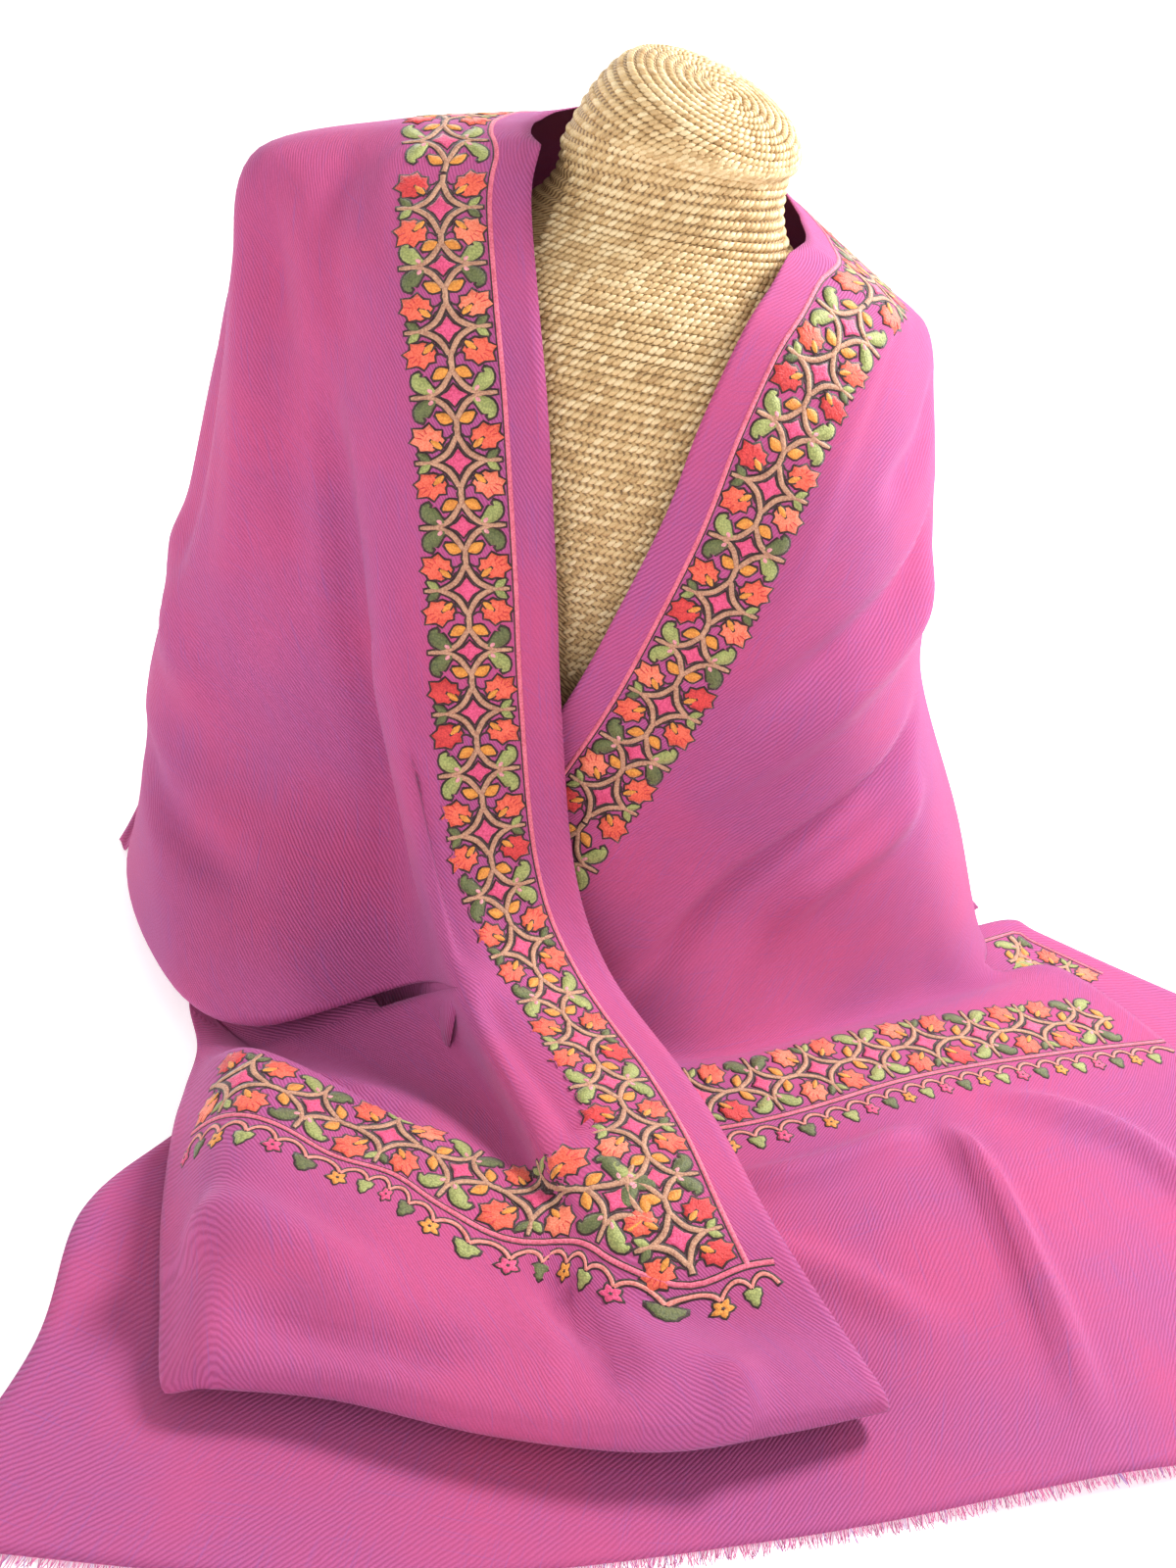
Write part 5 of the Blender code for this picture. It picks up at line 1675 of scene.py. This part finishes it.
# ------------------------------------------------------------------- where motifs fall
# The left half's end line on the heap, from its corner across, and the middles of the
# flower cell at that corner and of the highest leaf cell in front of the left shoulder.
LEFT_END_LINE: Row = [(.154, -.340, .048), (.135, -.345, .045), (.110, -.358, .040),
                      (.078, -.357, .045), (.057, -.350, .048), (.027, -.350, .042),
                      (-.005, -.340, .045), (-.027, -.330, .045), (-.056, -.330, .045),
                      (-.079, -.324, .045), (-.108, -.318, .044), (-.130, -.310, .020)]
LEFT_CORNER_CELL: Point = (.122, -.332, .055)
LEFT_TOP_CELL: Point = (-.100, -.058, .408)
LEFT_CELLS_BETWEEN = 18
RIGHT_TOP_CELL: Point = (.100, -.050, .386)
RIGHT_LOW_CELL: Point = (-.010, -.126, .160)
RIGHT_CELLS_BETWEEN = 9
RIGHT_CORNER: Point = (-.098, -.272, .002)


class Stole:
    """The embroidered shawl: its cloth, its needlework and its frayed ends."""

    def __init__(self) -> None:
        """Set out the cloth."""
        self.shawl = Shawl(TwillFinish())
        self.thread = ThreadFinish()
        self.pieces: list[bpy.types.Object] = []

    def side_border(self) -> Border:
        """Chart the border that follows the inner edge from end to end."""
        parts = self.shawl.patches
        left, heap, back, right, end = (parts[n] for n in
                                        ("left", "heap", "back", "right", "end"))
        def column(patch: Patch, line: float, other: float) -> tuple[np.ndarray, np.ndarray]:
            """Return a column of points and the way to another column."""
            points = patch.points[:, patch.line(line)]
            return points, patch.points[:, patch.line(other)] - points
        last = len(CAPE[0]) - 1
        right_side = [np.concatenate([a, b[1:]])[::-1] for a, b in zip(
            column(right, last, last - 1), column(end, last, last - 1))]
        left_side = [np.concatenate([a, b[1:]]) for a, b in zip(
            column(left, 0, 1), column(heap, 0, 1))]
        neck = [np.concatenate([parts[n].points[0] for n in ("left", "back", "right")]),
                np.concatenate([parts[n].points[parts[n].row(1)] - parts[n].points[0]
                                for n in ("left", "back", "right")])]
        neck = [values[::-1] for values in neck]
        cape = self.shawl.cover("left", "back", "right")
        return Border([
            (self.shawl.cover("right", "end"), right_side[0][:-2], right_side[1][:-2]),
            (cape, neck[0], neck[1]),
            (self.shawl.cover("left", "heap"), left_side[0][2:], left_side[1][2:])],
            centre=0.045, calm=5)

    def sew_side_border(self) -> None:
        """Sew the floral band and line along the inner edge."""
        work = Needlework("side_border_needlework", self.thread, seed=3)
        band = FloralBand(work)
        border = self.side_border()
        corner, top = (border.nearest(cell, 2) for cell in (LEFT_CORNER_CELL, LEFT_TOP_CELL))
        high, low = (border.nearest(cell, 0) for cell in (RIGHT_TOP_CELL, RIGHT_LOW_CELL))
        LOG.info("pitches: left %.4f right %.4f back %.3f",
                 (corner - top) / LEFT_CELLS_BETWEEN, (high - low) / RIGHT_CELLS_BETWEEN,
                 top - high)
        between = max(1, round((top - high) / CELL_PITCH / 2) * 2 - 1)
        places = list(np.linspace(low, high, RIGHT_CELLS_BETWEEN + 1))
        places += list(np.linspace(high, top, between + 1))[1:]
        places += list(np.linspace(top, corner, LEFT_CELLS_BETWEEN + 1))[1:]
        step, start = CELL_PITCH, border.nearest(RIGHT_CORNER, 0)
        places = [low - step * back for back in range(int((low - start) / step), 0, -1)] + places
        kinds = (Motif.FLOWERS, Motif.LEAVES)
        for number, at in enumerate(reversed(places)):
            index = len(places) - 1 - number
            gaps = [abs(places[i] - at) for i in (index - 1, index + 1)
                    if 0 <= i < len(places)]
            stretch = min(1.1, max(0.55, (sum(gaps) / len(gaps)) / CELL_PITCH))
            band.cell(border, at, kinds[number % 2], stretch)
        band.line(border, start, corner + 0.024)
        self.pieces.append(work.build())

    def sew_ends(self) -> None:
        """Sew the bands, lines and scallops across both ends."""
        work = Needlework("end_border_needlework", self.thread, seed=5)
        band = FloralBand(work)
        heap = self.shawl.cover("heap")
        line = resample(spline(np.array(LEFT_END_LINE), np.linspace(0, 11, 120)), 0.004)
        inward = np.tile((-0.01, 0.05, 0.01), (len(line), 1))
        left = Border([(heap, line, inward)], centre=0.0245, behind=9, ahead=20)
        for number in range(1, 7):
            at = 0.036 + 0.0385 * number
            if at < left.along[-1] - 0.02:
                band.cell(left, at, (Motif.FLOWERS, Motif.LEAVES)[number % 2], 0.95)
        band.line(left, 0.004, left.along[-1] - 0.002, dashes=False)
        band.scallops(left, 0.004, left.along[-1] - 0.004)
        end = self.shawl.patches["end"]
        row = end.row(len(CAPE) + 1)
        line = end.points[row]
        right = Border([(self.shawl.cover("end", "right"), line, end.points[end.row(
            len(CAPE))] - line)], centre=0.0245, behind=9, ahead=20)
        LOG.info("right end band %.3f", right.along[-1])
        for number in range(int((right.along[-1] - 0.03) / CELL_PITCH)):
            band.cell(right, CELL_PITCH + CELL_PITCH * number, (Motif.LEAVES, Motif.FLOWERS)[number % 2])
        band.line(right, 0.0, right.along[-1], dashes=False)
        band.scallops(right, 0.0, right.along[-1])
        pleat = self.shawl.patches["pleat"]
        last = pleat.row(3.0)
        edge = pleat.points[:last, 0]
        side = Border([(self.shawl.cover("pleat"), edge, pleat.points[:last, -1] - edge)],
                      centre=0.040, ahead=26)
        for number in range(int((side.along[-1] - 0.01) / CELL_PITCH)):
            band.cell(side, side.along[-1] - 0.022 - CELL_PITCH * number,
                      (Motif.FLOWERS, Motif.LEAVES)[number % 2], 0.95)
        band.line(side, 0.0, side.along[-1], dashes=False)
        self.pieces.append(work.build())

    def tuck(self) -> bpy.types.Object:
        """Build the folded layers that lie hidden inside the left heap."""
        low, high = (np.array(corner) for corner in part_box("shawl_left_tuck"))
        middle, half = (low + high) / 2, (high - low) / 2
        angles = np.linspace(0, 2 * np.pi, 48, endpoint=False)
        rings = []
        for share, level in ((0.05, -1), (0.86, -1), (0.96, -.8), (0.99, -.4), (.94, 0),
                             (0.99, .4), (0.96, .8), (0.86, 1), (0.05, 1)):
            across = np.sign(np.cos(angles)) * np.abs(np.cos(angles)) ** 0.5
            along = np.sign(np.sin(angles)) * np.abs(np.sin(angles)) ** 0.5
            ring = np.stack([share * half[0] * across, share * half[1] * along,
                             0 * angles + level * half[2]], axis=-1)
            rings.append(ring + middle)
        points = np.concatenate(rings)
        faces = [list(face) for face in grid_faces(len(rings), len(angles), closed=True)]
        last = (len(rings) - 1) * len(angles)
        faces.append(list(range(len(angles)))[::-1])
        faces.append([last + i for i in range(len(angles))])
        pad = add_piece("tucked_layers", points, faces, [self.shawl.finish.build()])
        unwrap(pad, "weave", points[:, :2])
        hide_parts("shawl_left_tuck")
        return pad

    def build(self) -> None:
        cloth = self.shawl.build()
        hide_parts("shawl_left_front", "shawl_left_end", "shawl_back",
                    "shawl_right_front", "shawl_right_end", "shawl_right_pleat")
        self.sew_side_border()
        self.sew_ends()
        for piece, slot in [(cloth, "shawl_cloth"), (self.tuck(), "shawl_cloth")] + [
                (piece, "needlework") for piece in self.pieces]:
            attach(piece)
        fringe = Fringe(YarnFinish())
        parts = self.shawl.patches
        fringes = [fringe.build("fringe_spread_end", parts["end"].points[-1],
                                parts["end"].points[-2], "fringe_right"),
                   fringe.build("fringe_under_layer", parts["pleat"].points[-1],
                                parts["pleat"].points[-2], "fringe_pleat")]


def main() -> None:
    """Build the set, the shawl and the form, and report each."""
    logging.basicConfig(level=logging.INFO, format="%(name)s: %(message)s")
    Studio().build()
    stole = Stole()
    stole.build()
    LOG.info("shawl built")
    parts = stole.shawl.patches
    rim = np.concatenate([parts["left"].points[:, 0], parts["right"].points[:, -1]]
                         + [parts[name].points[0] for name in ("left", "back", "right")])
    BustForm(StrawFinish()).build(stole.shawl.cover("left", "back", "right"), rim)
    LOG.info("form built")
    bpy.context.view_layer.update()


if __name__ == "__main__":
    main()
